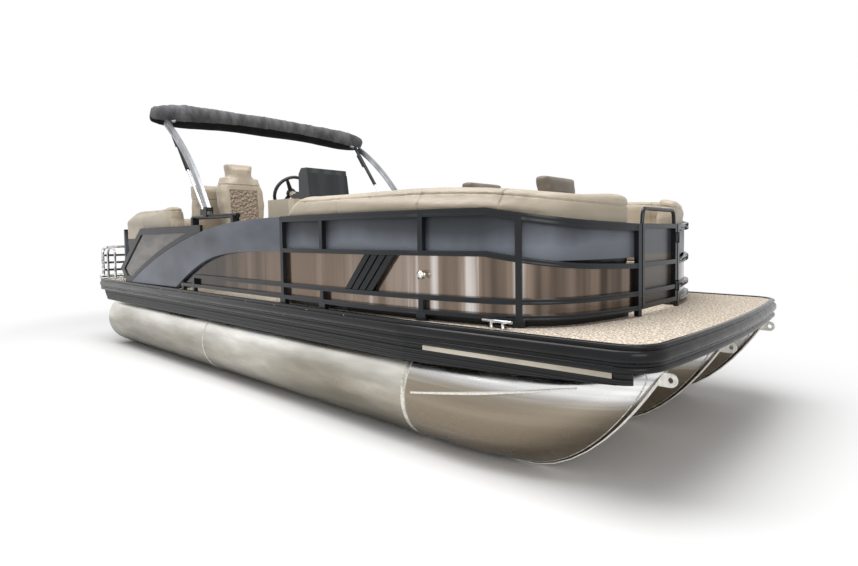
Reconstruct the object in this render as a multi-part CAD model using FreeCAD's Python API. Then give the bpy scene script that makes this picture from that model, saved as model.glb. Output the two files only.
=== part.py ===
import FreeCAD, Part
import math
import os

V = FreeCAD.Vector
os.makedirs("parts", exist_ok=True)

# Frame: +X to the bow, +Y to port, +Z up, Z 0 is the ground under the keels.
# A station is a distance aft of the towing eyes, and the origin is amidships.
bow_datum = 4134.4
UP = V(0, 0, 1)
overrun = 40.0
bent_tube_sides = 10
bent_tube_steps = 4
seat_gap = 0.3

# Pontoons: three welded aluminium tubes with drawn nose cones.
tube_radius = 317.5
tube_edge_gap = 16.5
tube_length = 6870.0
nose_length = 1484.0
keel_depth = 6.0
keel_width = 44.0
stem_rise_length = 850.0
stem_rise_height = 635.0
stem_power_share = 2.1
nose_fullness = 3.6
nose_rows = 12
nose_band_shares = (0, 0.4, 0.62, 0.8, 0.92, 1)
eye_radius = 34.0
eye_hole_radius = 14.0
eye_thickness = 12.0
eye_height = 600.0
eye_reach = 26.0
eye_root = 60.0
tube_cap_recess = 14.0
tube_cap_wall = 8.0

# Lifting strakes on the noses of the outer tubes.
strake_height = 352.0
strake_rise = 165.0
strake_steps = 6
strake_thickness = 12.0
strake_depth = 26.0
strake_aft_station = 1440.0
strake_fore_station = 395.0

# Underframe: brackets along the tubes and channels across them.
bracket_half_width = 150.0
bracket_wall = 6.0
bracket_flange = 34.0
bracket_fore_station = 320.0
bracket_aft_inset = 50.0
channel_height = 76.0
channel_width = 40.0
channel_wall = 5.0
channel_pitch = 406.4
channel_count = 16
channel_first_station = 420.0
channel_inset = 40.0

# Deck, its floor covering and the motor well at the stern.
deck_thickness = 19.0
floor_thickness = 3.0
deck_top = 784.0
deck_half_width = 1270.0
deck_fore_taper = 105.0
deck_fore_station = -12.0
deck_bow_bulge = 66.0
deck_aft_overhang = 180.0
taper_station = 1500.0
bow_corner_radius = 190.0
stern_corner_radius = 60.0
well_half_width = 500.0
well_depth = 400.0
floor_inset = 6.0

# Rub rail round the deck edge.
rail_lip_width = 18.0
rail_lip_rise = 8.0
rail_face = 14.0
rail_bulge = 25.0
rail_bottom = 662.0
rail_wall = 5.0
bulge_height = 44.0
bulge_middle = 737.0
rail_groove_low = 690.0
rail_groove_high = 704.0
rail_groove_depth = 7.0

# Ribbed side skirts below the rail and the stripe on them.
skirt_thickness = 5.0
skirt_inset = 14.0
skirt_bottom = 546.0
skirt_fore_station = 70.0
skirt_level_station = 1500.0
skirt_fore_bottom = 602.0
skirt_aft_inset = 90.0
skirt_aft_rise = 90.0
skirt_sweep_power_share = 1.4
skirt_steps = 4
skirt_rib_count = 4
skirt_rib_depth = 4.0
skirt_rib_height = 9.0
stripe_aft_station = 1330.0
stripe_fore_station = 160.0
stripe_height = 26.0
stripe_thickness = 1.5
stripe_drop = 8.0

# Fence plan: straight sides, then three arcs round to the bow gate.
fence_inset = 20.0
bow_curve_station = 2141.0
sheer_station = 950.0
side_turn = math.radians(10.83)
corner_turn = math.radians(62.17)
corner_radius = 573.0
bow_radius = 2535.0
gate_post_half_gap = 289.0

# Fence rails, posts and feet.
rail_depth = 32.0
rail_height = 30.0
top_rail_height = 44.0
top_rail_z = 1418.0
second_rail_z = 1185.0
third_rail_z = 926.0
bottom_rail_z = 838.0
sheer_slope = 0.17
post_width = 36.0
foot_length = 70.0
rail_slot_depth = 2.5
rail_slot_half_height = 3.0
fore_post_station = 766.0
light_post_station = 1388.0
middle_post_station = 2340.0
swoosh_post_station = 4430.0
bottom_rail_station = 4710.0
panel_thickness = 3.0

# Swept quarter panels and the smoked aft windows.
swoosh_aft_gap = 250.0
swoosh_fore_station = 2855.0
swoosh_low = 790.0
swoosh_high = 1436.0
swoosh_top_shares = ((0, 0), (0.183, 0.351), (0.428, 0.700), (0.662, 0.915), (0.856, 0.986), (1, 1))
swoosh_under_station = 4830.0
swoosh_under_low = 800.0
swoosh_under_high = 1176.0
swoosh_under_shares = ((0, 0), (0.17, 0.424), (0.39, 0.797), (0.582, 0.935), (0.76, 0.985), (1, 1))
swoosh_thickness = 30.0
window_foot_gap = 130.0
window_chevron_reach = 60.0
window_chevron_z = 945.0
window_corner_gap = 590.0
window_corner_z = 1385.0
window_fore_station = 4250.0
window_fore_z = 1400.0
window_frame_width = 70.0
window_frame_thickness = 26.0
window_sill_rise = 55.0
window_thickness = 4.0
louvre_count = 4
louvre_width = 58.0
louvre_gap = 14.0
louvre_lean = 200.0
louvre_fore_station = 1600.0
louvre_depth = 22.0
louvre_setback = 5.0

# Gates.
gate_clearance = 6.0
gate_tube = 30.0
hinge_pin_radius = 8.0
hinge_proud = 8.0
hinge_inset = 3.0
hinge_rod_radius = 4.0
hinge_barrel_radius = 6.5
hinge_barrel_length = 60.0
hinge_lug_thickness = 6.0
hinge_leaf_reach = 30.0
hinge_root_depth = 12.0
hinge_root_share = 0.7
hinge_low_z = 900.0
hinge_high_z = 1230.0
hinge_play = 0.5
bow_gate_arch_height = 92.0
bow_gate_arch_inset = 36.0
bow_gate_arch_radius = 13.0
gate_bottom = 826.0
side_gate_fore_station = 1850.0
side_gate_width = 720.0
stern_deck_depth = 720.0
stern_fence_top = 1360.0
stern_gate_inner = 520.0
stern_gate_side_gap = 80.0
stern_gate_top = 1330.0

# Deck hardware.
cleat_length = 200.0
cleat_height = 42.0
cleat_fore_station = 850.0
cleat_aft_inset = 490.0
cleat_inset = 74.0
cleat_tube_radius = 9.0
cleat_base_length = 124.0
cleat_base_half_width = 18.0
cleat_leg_offset = 40.0
light_z = 1056.0
light_radius = 26.0
light_depth = 36.0
grab_fore_inset = 300.0
grab_aft_inset = 40.0
grab_height = 380.0
grab_radius = 12.7
grab_bend = 90.0
grab_inset = 70.0

# Bow couches, aft couch and chaise backs.
couch_back_offset = 48.0
couch_back_depth = 140.0
couch_seat_start = 190.0
couch_seat_depth = 370.0
couch_base_offset = 60.0
couch_base_depth = 480.0
couch_gate_gap = 330.0
couch_seat_z = 1215.0
couch_seat_thickness = 130.0
couch_back_top = 1600.0
couch_fore_station = 690.0
couch_aft_station = 2880.0
port_couch_aft_station = 1740.0
cushion_round = 30.0
mid_couch_fore_station = 2700.0
mid_couch_aft_station = 5050.0
mid_couch_back_gap = 145.0
aft_couch_fore_station = 4860.0
aft_couch_gap = 50.0
stern_bench_depth = 560.0
stern_bench_gap = 80.0
chaise_thickness = 130.0
chaise_half_width = 250.0
chaise_lean = 110.0
chaise_top = 1830.0
chaise_middle = 830.0

# Helm: console, pod, windscreen, wheel and throttle.
console_fore_station = 3120.0
console_aft_station = 3560.0
console_side_gap = 270.0
console_width = 650.0
console_top = 1600.0
console_lean = 60.0
pod_height = 285.0
pod_rake = 45.0
pod_crest = 85.0
pod_length = 170.0
pod_shoulder_height = 235.0
pod_dash_height = 84.0
pod_aft_height = 57.0
pod_setback = 84.0
pod_outer_inset = 233.0
pod_inner_inset = 12.0
screen_height = 240.0
screen_thickness = 6.0
wheel_radius = 175.0
wheel_rim_radius = 14.0
wheel_rim_sides = 8
wheel_hub_radius = 42.0
wheel_shaft_radius = 10.0
wheel_tilt = 28.0
wheel_side_gap = 610.0
wheel_station = 3740.0
wheel_z = 1690.0
wheel_spoke_count = 3
wheel_column_radius = 30.0
wheel_column_gap = 16.0
wheel_column_length = 230.0
throttle_side_gap = 850.0
throttle_height = 130.0
throttle_width = 60.0
throttle_lever_radius = 12.0
throttle_knob_radius = 15.0

# Helm seat.
helm_station = 4230.0
helm_side_gap = 490.0
pedestal_radius = 45.0
pedestal_foot_radius = 150.0
pedestal_foot_height = 16.0
swivel_z = 1130.0
swivel_plate_thickness = 14.0
helm_seat_width = 540.0
helm_seat_depth = 500.0
helm_seat_thickness = 130.0
helm_back_top = 1880.0
helm_head_top = 2030.0
helm_back_thickness = 120.0
helm_back_lean = 90.0
helm_head_width = 330.0
helm_back_width = 486.0
swivel_plate_length = 250.0
arm_height = 230.0
arm_width = 50.0
arm_length = 350.0
arm_gap = 6.0

# Folding top: rail bars, arch, boot and its two lift struts.
mount_fore_station = 3610.0
mount_aft_station = 4480.0
mount_bar_radius = 20.0
mount_height = 40.0
mount_foot_z = 1375.0
mount_foot_reach = 38.0
lug_gap = 5.0
lug_thickness = 8.0
lug_width = 60.0
lug_pin_radius = 8.0
rod_eye_width = 30.0
arch_foot_station = 4172.0
arch_foot_z = 1530.0
arch_inset = 45.0
arch_tube_radius = 19.0
arch_fitting_radius = 20.0
arch_fitting_length = 90.0
arch_length = 1480.0
arch_angle = math.radians(43.0)
arch_crown = 70.0
arch_tumble = 25.0
arch_shoulder_radius = 150.0
boot_sides = 12
boot_end_share = 0.85
boot_end_power = 12
boot_end_shares = (-1.08, -1.0, -0.6, 0.0, 0.6, 1.0, 1.08)
pin_play = 1.0
rod_play = 0.05
boot_height = 262.0
boot_depth = 180.0
strut_eye_station = 4430.0
strut_eye_z = 1520.0
strut_pin_reach = 1330.0
strut_side_gap = 8.0
sleeve_radius = 21.0
sleeve_wall = 4.0
sleeve_length = 620.0
rod_radius = 11.0
rod_overlap = 330.0
gland_length = 25.0
lift_motor_drop = 38.0
lift_motor_start = 60.0
lift_motor_length = 190.0
lift_motor_radius = 20.0
strut_pin_radius = 8.0

# Boarding ladder on the stern, stowed upright.
ladder_setback = 60.0
ladder_inset = 45.0
ladder_width = 400.0
ladder_height = 360.0
ladder_tube_radius = 16.0
ladder_bend = 64.0
ladder_tread_share = 0.7
ladder_barrel_radius = 19.0
ladder_tread_depth = 60.0
ladder_tread_thickness = 26.0
ladder_tread_count = 4
ladder_hinge_z = 815.0

# Outboard motor, tilted up for parking.
transom_setback = 230.0
transom_width = 620.0
transom_thickness = 60.0
transom_top = 700.0
transom_bottom = 330.0
pod_top = 600.0
motor_pod_half_width = 254.0
motor_pod_foot_z = 165.0
tilt_setback = 60.0
tilt_z = 722.0
rest_tilt = 52.0
clamp_gap = 150.0
clamp_thickness = 22.0
clamp_height = 330.0
clamp_reach = 33.0
tilt_pin_radius = 16.0
steer_back = 150.0
swivel_length = 330.0
swivel_radius = 46.0
kingpin_radius = 20.0
cowl_length = 740.0
cowl_width = 520.0
cowl_height = 600.0
cowl_base = 110.0
cowl_wall = 8.0
cowl_inner_inset = 20.0
cowl_back = 270.0
deckplate_radius = 187.0
cowl_edge_radius = 40.0
cowl_side_shares = ((-0.42, 0), (0.4, 0), (0.48, 0.34), (0.44, 0.86), (0.3, 1), (-0.1, 0.98), (-0.42, 0.82), (-0.52, 0.4))
cowl_front_shares = ((0.4, 0), (0.5, 0.36), (0.47, 0.72), (0.34, 1))
leg_length = 650.0
leg_chord = 300.0
leg_middle = -370.0
leg_thickness = 110.0
leg_root_shares = (1.0, 1.3)
leg_plate_shares = (0.9, 0.7)
leg_gearcase_shares = (0.8, 0.4)
leg_section_shares = ((0.5, -0.18), (0.5, 0.18), (0.2, 0.5), (-0.2, 0.4), (-0.5, 0.06), (-0.5, -0.06), (-0.2, -0.4), (0.2, -0.5))
plate_length = 520.0
plate_width = 300.0
plate_thickness = 10.0
plate_back = 322.0
plate_round = 100.0
gearcase_radius = 62.0
gearcase_length = 430.0
gearcase_drop = 215.0
gearcase_tip_radius = 12.0
skeg_depth = 190.0
skeg_thickness = 14.0
skeg_shares = ((0.33, 0), (-0.2, 1), (-0.5, 1), (-0.33, 0))
shaft_radius = 14.0
shaft_gap = 6.0
propeller_radius = 195.0
propeller_hub_radius = 46.0
propeller_hub_length = 120.0
blade_count = 3
blade_thickness = 7.0
blade_pitch = 36.0
blade_outline_shares = ((0.15, 0.22), (0.4, 0.36), (0.68, 0.42), (0.88, 0.33), (1, 0.12))
engine_length = 480.0
engine_width = 320.0
engine_height = 380.0

# Places that follow from those sizes.
tube_spacing = deck_half_width - tube_edge_gap - tube_radius
bracket_aft_station = tube_length - bracket_aft_inset
deck_fore_half_width = deck_half_width - deck_fore_taper
deck_aft_station = tube_length + deck_aft_overhang
well_fore_station = deck_aft_station - well_depth
skirt_aft_station = deck_aft_station - skirt_aft_inset
fence_half_width = deck_half_width - fence_inset
stern_fence_station = deck_aft_station - stern_deck_depth
stern_gate_outer = fence_half_width - stern_gate_side_gap
stern_bench_port = stern_gate_inner - stern_bench_gap
swoosh_aft_station = stern_fence_station - swoosh_aft_gap
window_foot_station = stern_fence_station - window_foot_gap
window_chevron_station = stern_fence_station + window_chevron_reach
window_corner_station = stern_fence_station - window_corner_gap
aft_couch_aft_station = stern_fence_station - aft_couch_gap
mid_couch_back_y = fence_half_width - mid_couch_back_gap
console_outer = fence_half_width - console_side_gap
console_inner = console_outer - console_width
wheel_y = wheel_side_gap - fence_half_width
throttle_y = throttle_side_gap - fence_half_width
helm_y = helm_side_gap - fence_half_width
arch_half_width = fence_half_width - arch_inset
ladder_station = deck_aft_station + ladder_setback
ladder_outer = deck_half_width - ladder_inset
transom_station = tube_length + transom_setback
tilt_station = transom_station + tilt_setback
grab_fore_station = deck_aft_station - grab_fore_inset
grab_aft_station = deck_aft_station - grab_aft_inset
cleat_stations = (cleat_fore_station, deck_aft_station - cleat_aft_inset)
half_post_stations = (middle_post_station, light_post_station)
post_stations = (swoosh_fore_station, fore_post_station)
hinge_heights = (hinge_low_z, hinge_high_z)
tube_z = keel_depth + tube_radius
deck_bottom = deck_top - floor_thickness - deck_thickness
channel_bottom = deck_bottom - channel_height
side_radius = (bow_curve_station - sheer_station) / math.sin(side_turn)


def x_at(station):
    return bow_datum - station


def box(station_a, station_b, y0, y1, z0, z1):
    x0, x1 = sorted((x_at(station_a), x_at(station_b)))
    y0, y1 = sorted((y0, y1))
    return Part.makeBox(x1 - x0, y1 - y0, z1 - z0, V(x0, y0, z0))


def polygon_face(points):
    return Part.Face(Part.makePolygon(points + points[:1]))


def side_plate(outline, y0, y1):
    """A flat plate from (station, z) points, between two values of y."""
    points = [V(x_at(s), y0, z) for s, z in outline]
    return polygon_face(points).extrude(V(0, y1 - y0, 0))


def mirrored(shape):
    return shape.mirror(V(0, 0, 0), V(0, 1, 0))


def pair(shape):
    return [shape, mirrored(shape)]


def fused(shapes):
    solids = [solid for shape in shapes for solid in shape.Solids]
    whole = solids[0].multiFuse(solids[1:]) if len(solids) > 1 else solids[0]
    return whole.removeSplitter()


def rod(start, end, radius):
    return Part.makeCylinder(radius, (end - start).Length, start, end - start)


def bent_tube(points, bend, radius):
    """A tube along straight runs in one plane whose corners are rounded."""
    first = points[1] - points[0]
    level = first.cross(points[2] - points[1]).normalize()
    spots = [(points[0], V(first).normalize())]
    for before, corner, after in zip(points, points[1:], points[2:]):
        back = (before - corner).normalize()
        onward = (after - corner).normalize()
        half = back.getAngle(onward) / 2
        hub = corner + (back + onward).normalize() * (bend / math.sin(half))
        arm = corner + back * (bend / math.tan(half)) - hub
        turn = FreeCAD.Rotation(back.cross(onward), -math.degrees(math.pi - 2 * half) / bent_tube_steps)
        heading = -back
        for _ in range(bent_tube_steps + 1):
            spots.append((hub + arm, heading))
            arm = turn.multVec(arm)
            heading = turn.multVec(heading)
    spots.append((points[-1], (points[-1] - points[-2]).normalize()))
    rings = []
    for middle, heading in spots:
        side = level.cross(heading)
        ring = []
        for i in range(bent_tube_sides):
            angle = 2 * math.pi * (i + 0.5) / bent_tube_sides
            ring.append(middle + side * (radius * math.cos(angle)) + level * (radius * math.sin(angle)))
        rings.append(Part.makePolygon(ring + ring[:1]))
    return Part.makeLoft(rings, True, True)


def export(name, shapes):
    shapes = shapes if isinstance(shapes, list) else [shapes]
    whole = shapes[0] if len(shapes) == 1 else Part.makeCompound(shapes)
    whole.exportStep("parts/" + name + ".step")


# Plan of the fence on the starboard side, as arcs met by the straight side.
arc_a_centre = V(x_at(bow_curve_station), -(fence_half_width - side_radius), 0)
arc_a_end = arc_a_centre + V(side_radius * math.sin(side_turn), -side_radius * math.cos(side_turn), 0)
arc_b_turn = side_turn + corner_turn
arc_b_centre = arc_a_end - V(corner_radius * math.sin(side_turn), -corner_radius * math.cos(side_turn), 0)
arc_b_end = arc_b_centre + V(corner_radius * math.sin(arc_b_turn), -corner_radius * math.cos(arc_b_turn), 0)
arc_c_centre = arc_b_end - V(bow_radius * math.sin(arc_b_turn), -bow_radius * math.cos(arc_b_turn), 0)
gate_turn = math.acos((gate_post_half_gap + arc_c_centre.y) / bow_radius)
fence_arcs = (
    (arc_a_centre, side_radius, 0, side_turn),
    (arc_b_centre, corner_radius, side_turn, arc_b_turn),
    (arc_c_centre, bow_radius, arc_b_turn, gate_turn),
)


def profile_face(profile, x, y_outer):
    """Profile points are (distance inboard of the fence face, z)."""
    return polygon_face([V(x, y_outer + inboard, z) for inboard, z in profile])


def fence_side(profile, aft_station):
    """The straight starboard run of a profile, from aft to the bow curve."""
    face = profile_face(profile, x_at(aft_station), -fence_half_width)
    return face.extrude(V(aft_station - bow_curve_station, 0, 0))


def fence_arc(profile, index):
    """The profile carried round one arc of the fence."""
    centre, radius, start, end = fence_arcs[index]
    face = profile_face(profile, centre.x, centre.y - radius)
    face.rotate(centre, UP, math.degrees(start))
    return face.revolve(centre, UP, math.degrees(end - start))


def fence_point(station, inboard):
    """Place and heading of the fence face at a station, moved inboard."""
    x = x_at(station)
    if station >= bow_curve_station:
        return V(x, -fence_half_width + inboard, 0), 0
    for centre, radius, start, end in fence_arcs:
        share = (x - centre.x) / radius
        turn = math.asin(max(-1, min(1, share)))
        if turn <= end or (centre, end) == (arc_c_centre, gate_turn):
            reach = radius - inboard
            spot = centre + V(reach * math.sin(turn), -reach * math.cos(turn), 0)
            return spot, math.degrees(turn)
    return V(x, -fence_half_width, 0), 0


def sheer_drop(x):
    return max(0, x - x_at(sheer_station)) * sheer_slope


def sheared(shape):
    """Lean a level bow piece down towards the gate."""
    matrix = FreeCAD.Matrix()
    matrix.A31 = -sheer_slope
    matrix.A34 = sheer_slope * x_at(sheer_station)
    return shape.transformGeometry(matrix)


def ring_profile(inner, outer, low, high):
    return [(inner, low), (outer, low), (outer, high), (inner, high)]


def rail_run(z, height, aft_station, sheer):
    """One fence rail along the side and round to the gate post."""
    profile = slotted_profile(z, height)
    pieces = [fence_side(profile, aft_station), fence_arc(profile, 0)]
    for index in (1, 2):
        piece = fence_arc(profile, index)
        pieces.append(sheared(piece) if sheer else piece)
    return pieces


def slotted_profile(z, height):
    """A rail's section, with a shallow slot along its outer face."""
    low, high = z - height / 2, z + height / 2
    slot = [
        (0, z + rail_slot_half_height),
        (rail_slot_depth, z + rail_slot_half_height),
        (rail_slot_depth, z - rail_slot_half_height),
        (0, z - rail_slot_half_height),
    ]
    return [(0, low), (rail_depth, low), (rail_depth, high), (0, high)] + slot


def post_at(station, width, low, high):
    spot, heading = fence_point(station, 0)
    post = Part.makeBox(width, rail_depth, high - low, V(-width / 2, 0, low))
    post.rotate(V(0, 0, 0), UP, heading)
    post.translate(spot)
    return post


def pontoon_tube():
    centre = V(x_at(tube_length), 0, tube_z)
    tube = Part.makeCylinder(tube_radius, tube_length - nose_length, centre, V(1, 0, 0))
    recess = Part.makeCylinder(tube_radius - tube_cap_wall, tube_cap_recess, centre, V(1, 0, 0))
    return tube.cut(recess)


def stem_x(z):
    share = min(1, max(0, z - keel_depth) / stem_rise_height)
    return x_at(0) - stem_rise_length * (1 - share ** (1 / stem_power_share))


def waterline(z, inboard_share):
    """A point of the nose at one height, from the weld to the stem."""
    half = math.sqrt(max(0, tube_radius ** 2 - (z - tube_z) ** 2))
    x0 = x_at(nose_length)
    x = x0 + (stem_x(z) - x0) * inboard_share
    return x, half * (1 - inboard_share ** nose_fullness)


def nose_cone():
    """Facets of plate from the weld to the stem, on both sides of a tube."""
    seams = []
    for share in nose_band_shares:
        line = []
        for i in range(nose_rows + 1):
            z = tube_z - tube_radius * math.cos(math.pi * i / nose_rows)
            x, y = waterline(z, share)
            line.append(V(x, -y, z))
        seams.append(Part.makePolygon(line))
    facets = []
    for aft, fore in zip(seams, seams[1:]):
        facets += [Part.makeRuledSurface(a, b) for a, b in zip(aft.Edges, fore.Edges)]
    weld = Part.Face(Part.Wire(seams[0].Edges + mirrored(seams[0]).Edges))
    shell = Part.makeShell(facets + [mirrored(facet) for facet in facets] + [weld])
    shell.sewShape()
    return Part.makeSolid(shell)


def towing_eye():
    middle = V(x_at(0) + eye_reach, -eye_thickness / 2, eye_height)
    disc = Part.makeCylinder(eye_radius, eye_thickness, middle, V(0, 1, 0))
    half = eye_thickness / 2
    root = box(eye_root, -eye_reach, -half, half, eye_height - eye_radius, eye_height + eye_radius)
    root = root.cut(side_plate(stem_side(), -eye_thickness, eye_thickness))
    hole = Part.makeCylinder(eye_hole_radius, eye_thickness, middle, V(0, 1, 0))
    return disc.fuse(root).cut(hole)


def stem_line():
    """Points up the stem from the keel, as (distance, height above it)."""
    line = []
    for i in range(nose_rows + 1):
        up = tube_radius * (1 - math.cos(math.pi * i / nose_rows))
        line.append((stem_x(keel_depth + up) - x_at(stem_rise_length), up))
    return line


def stem_side():
    """Outline of the space behind the stem, as (station, z) points."""
    line = [(stem_rise_length - along, keel_depth + up) for along, up in stem_line()]
    return line + [(stem_rise_length, keel_depth + stem_rise_height)]


def keel_strip():
    """The keel bar under a tube, turned up the stem, with the towing eye."""
    inner = []
    outer = []
    for along, up in stem_line():
        inner.append(V(x_at(stem_rise_length) + along, 0, keel_depth + up))
        slope = stem_power_share * up / max(along, keel_depth)
        grown = V(slope, 0, -1).normalize() * keel_depth
        outer.append(inner[-1] + grown)
    low = V(x_at(tube_length), 0, 0)
    high = V(x_at(tube_length), 0, keel_depth)
    blade = polygon_face([low] + outer + inner[::-1] + [high])
    blade.translate(V(0, -keel_width / 2, 0))
    strip = blade.extrude(V(0, keel_width, 0))
    return strip.fuse(towing_eye())


def pontoons():
    tubes, noses, keels = [], [], []
    for y in (-tube_spacing, 0, tube_spacing):
        for group, piece in ((tubes, pontoon_tube()), (noses, nose_cone()), (keels, keel_strip())):
            piece.translate(V(0, y, 0))
            group.append(piece)
    export("pontoon_tubes", tubes)
    export("nose_cones", noses)
    export("keel_strips", keels)


def strakes():
    """Spray fins along the noses of the outer tubes, inboard and outboard."""
    x0 = x_at(strake_aft_station)
    run = x_at(strake_fore_station) - x0
    weld = x_at(nose_length)
    edge = []
    for i in range(strake_steps + 1):
        x = x0 + run * i / strake_steps
        z = strake_height + strake_rise * i / strake_steps
        share = (x - weld) / (stem_x(z) - weld)
        half = math.sqrt(tube_radius ** 2 - (z - tube_z) ** 2)
        y = half * (1 - share ** nose_fullness)
        taper = min(1, 2 * min(i, strake_steps - i) / strake_steps)
        edge.append(V(x, -y - strake_depth * taper, z))
    curve = Part.BSplineCurve()
    curve.interpolate(edge)
    start = V(x0, 0, strake_height)
    end = V(x0 + run, 0, strake_height + strake_rise)
    rim = [curve.toShape(), Part.makeLine(edge[-1], end), Part.makeLine(end, start), Part.makeLine(start, edge[0])]
    blank = Part.Face(Part.Wire(rim)).extrude(V(0, 0, strake_thickness))
    fin = blank.cut(nose_cone())
    fins = []
    for y in (-tube_spacing, tube_spacing):
        for side in (fin, mirrored(fin)):
            piece = side.copy()
            piece.translate(V(0, y, 0))
            fins.append(piece)
    export("strakes", fins)


def underframe():
    """Bracket rails along each tube and channels across the boat."""
    foot = math.sqrt(tube_radius ** 2 - bracket_half_width ** 2)
    rails = []
    x0 = x_at(bracket_aft_station)
    bracket_length = bracket_aft_station - bracket_fore_station
    cutter = Part.makeCylinder(tube_radius, bracket_length, V(x0, 0, tube_z), V(1, 0, 0))
    for side in (-1, 1):
        y = side * bracket_half_width
        low = tube_z + foot - bracket_flange
        web = Part.makeBox(bracket_length, bracket_wall, channel_bottom - low, V(x0, y, low))
        corner = V(x0, min(y, y + side * bracket_flange), channel_bottom - bracket_wall)
        flange = Part.makeBox(bracket_length, bracket_flange, bracket_wall, corner)
        rail = web.fuse(flange).cut(cutter).removeSplitter()
        for shift in (-tube_spacing, 0, tube_spacing):
            piece = rail.copy()
            piece.translate(V(0, shift, 0))
            rails.append(piece)
    export("tube_brackets", rails)
    channels = []
    for i in range(channel_count):
        station = channel_first_station + channel_pitch * i
        half = outline_half_width(station) - channel_inset
        outer = box(station, station + channel_width, -half, half, channel_bottom, deck_bottom)
        inner = box(station + channel_wall, station + channel_width, -half, half, channel_bottom + channel_wall, deck_bottom - channel_wall)
        channels.append(outer.cut(inner))
    export("cross_members", channels)


def outline_half_width(station):
    share = min(1, max(0, (station - deck_fore_station) / (taper_station - deck_fore_station)))
    return deck_fore_half_width + (deck_half_width - deck_fore_half_width) * share


def deck_outline(grow, z):
    """The deck's plan grown outward, as a face at one height."""
    fore = x_at(deck_fore_station) + grow
    aft = x_at(deck_aft_station) - grow
    taper = x_at(taper_station)
    wide = deck_half_width + grow
    narrow = deck_fore_half_width + grow
    edges = [
        Part.makeLine(V(aft, wide, z), V(aft, -wide, z)),
        Part.makeLine(V(aft, -wide, z), V(taper, -wide, z)),
        Part.makeLine(V(taper, -wide, z), V(fore, -narrow, z)),
        Part.Arc(V(fore, -narrow, z), V(fore + deck_bow_bulge, 0, z), V(fore, narrow, z)).toShape(),
        Part.makeLine(V(fore, narrow, z), V(taper, wide, z)),
        Part.makeLine(V(taper, wide, z), V(aft, wide, z)),
    ]
    return Part.Face(Part.Wire(edges))


def deck_slab(grow, low, high):
    """A slab of the deck's plan with its corners rounded."""
    slab = deck_outline(grow, low).extrude(V(0, 0, high - low))
    corners = ((deck_fore_station, bow_corner_radius + grow), (deck_aft_station, stern_corner_radius + grow))
    for station, radius in corners:
        picked = []
        for edge in slab.Edges:
            first, last = edge.Vertexes[0].Point, edge.Vertexes[-1].Point
            upright = abs(first.x - last.x) + abs(first.y - last.y) < rail_wall
            if upright and abs(first.x - x_at(station)) < deck_half_width / 2:
                picked.append(edge)
        slab = slab.makeFillet(radius, picked)
    return slab


def motor_well(low, high):
    return box(well_fore_station, deck_aft_station + deck_half_width, -well_half_width, well_half_width, low, high)


def deck():
    board = deck_slab(0, deck_bottom, deck_top - floor_thickness)
    export("deck_board", board.cut(motor_well(deck_bottom - overrun, deck_top + overrun)))
    floor = deck_slab(-floor_inset, deck_top - floor_thickness, deck_top)
    export("floor_covering", floor.cut(motor_well(deck_bottom - overrun, deck_top + overrun)))


def rub_rail():
    """Stacked ribs of one moulding that caps the deck edge all round."""
    lip_top = deck_top + rail_lip_rise
    bulge_low = bulge_middle - bulge_height / 2
    bulge_high = bulge_middle + bulge_height / 2
    face = deck_slab(rail_face, rail_bottom, lip_top)
    bulge = deck_slab(rail_bulge, bulge_low, bulge_high)
    outer_edges = [e for e in bulge.Edges if abs(e.BoundBox.ZLength) < rail_wall]
    bulge = bulge.makeChamfer(rail_bulge - rail_face, outer_edges)
    groove = deck_slab(rail_face, rail_groove_low, rail_groove_high).cut(deck_slab(rail_face - rail_groove_depth, rail_groove_low, rail_groove_high))
    core = deck_slab(0, rail_bottom, deck_top)
    lip = deck_slab(-rail_lip_width, rail_bottom, lip_top)
    rail = face.fuse(bulge).cut(groove).cut(core).cut(lip)
    export("rub_rail", rail.cut(motor_well(rail_bottom - overrun, lip_top + overrun)).removeSplitter())


def skirt_line(station):
    """Height of the skirt's lower edge at a station."""
    if station < skirt_level_station:
        share = (skirt_level_station - station) / (skirt_level_station - skirt_fore_station)
        return skirt_bottom + (skirt_fore_bottom - skirt_bottom) * share ** skirt_sweep_power_share
    aft_run = skirt_aft_station - station
    if aft_run < skirt_aft_rise:
        return skirt_bottom + skirt_aft_rise - aft_run
    return skirt_bottom


def skirts():
    """Ribbed sheets that hang from the channel ends behind the rail."""
    top = deck_bottom - seat_gap
    stations = []
    for i in range(skirt_steps + 1):
        stations.append(skirt_fore_station + (skirt_level_station - skirt_fore_station) * i / skirt_steps)
    low = [(s, skirt_line(s)) for s in stations]
    aft = [(skirt_aft_station - skirt_aft_rise, skirt_bottom), (skirt_aft_station, skirt_bottom + skirt_aft_rise)]
    outline = low + aft + [(skirt_aft_station, top), (skirt_fore_station, top)]
    blank = side_plate(outline, -deck_half_width - overrun, 0)
    sheet = skirt_ring(0, skirt_thickness, skirt_bottom, top)
    ribs = []
    pitch = (rail_bottom - skirt_bottom) / skirt_rib_count
    for i in range(skirt_rib_count):
        z = skirt_bottom + pitch * (i + 0.5)
        ribs.append(skirt_ring(-skirt_rib_depth, skirt_rib_depth, z, z + skirt_rib_height))
    skirt = fused([sheet] + ribs).common(blank)
    export("side_skirts", pair(skirt))
    stripe_top = rail_bottom - stripe_drop
    stripe = skirt_ring(-skirt_rib_depth - stripe_thickness - seat_gap, stripe_thickness, stripe_top - stripe_height, stripe_top)
    ends = box(stripe_fore_station, stripe_aft_station, -deck_half_width, 0, skirt_bottom, deck_top)
    export("accent_stripes", pair(stripe.common(ends)))


def skirt_ring(inset, thickness, low, high):
    """A starboard strip parallel to the deck edge, inset from it."""
    outer = deck_slab(-skirt_inset - inset, low, high)
    inner = deck_slab(-skirt_inset - inset - thickness, low, high)
    keep = box(skirt_fore_station, skirt_aft_station, -deck_half_width, -tube_spacing, low, high)
    return outer.cut(inner).common(keep)


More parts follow.
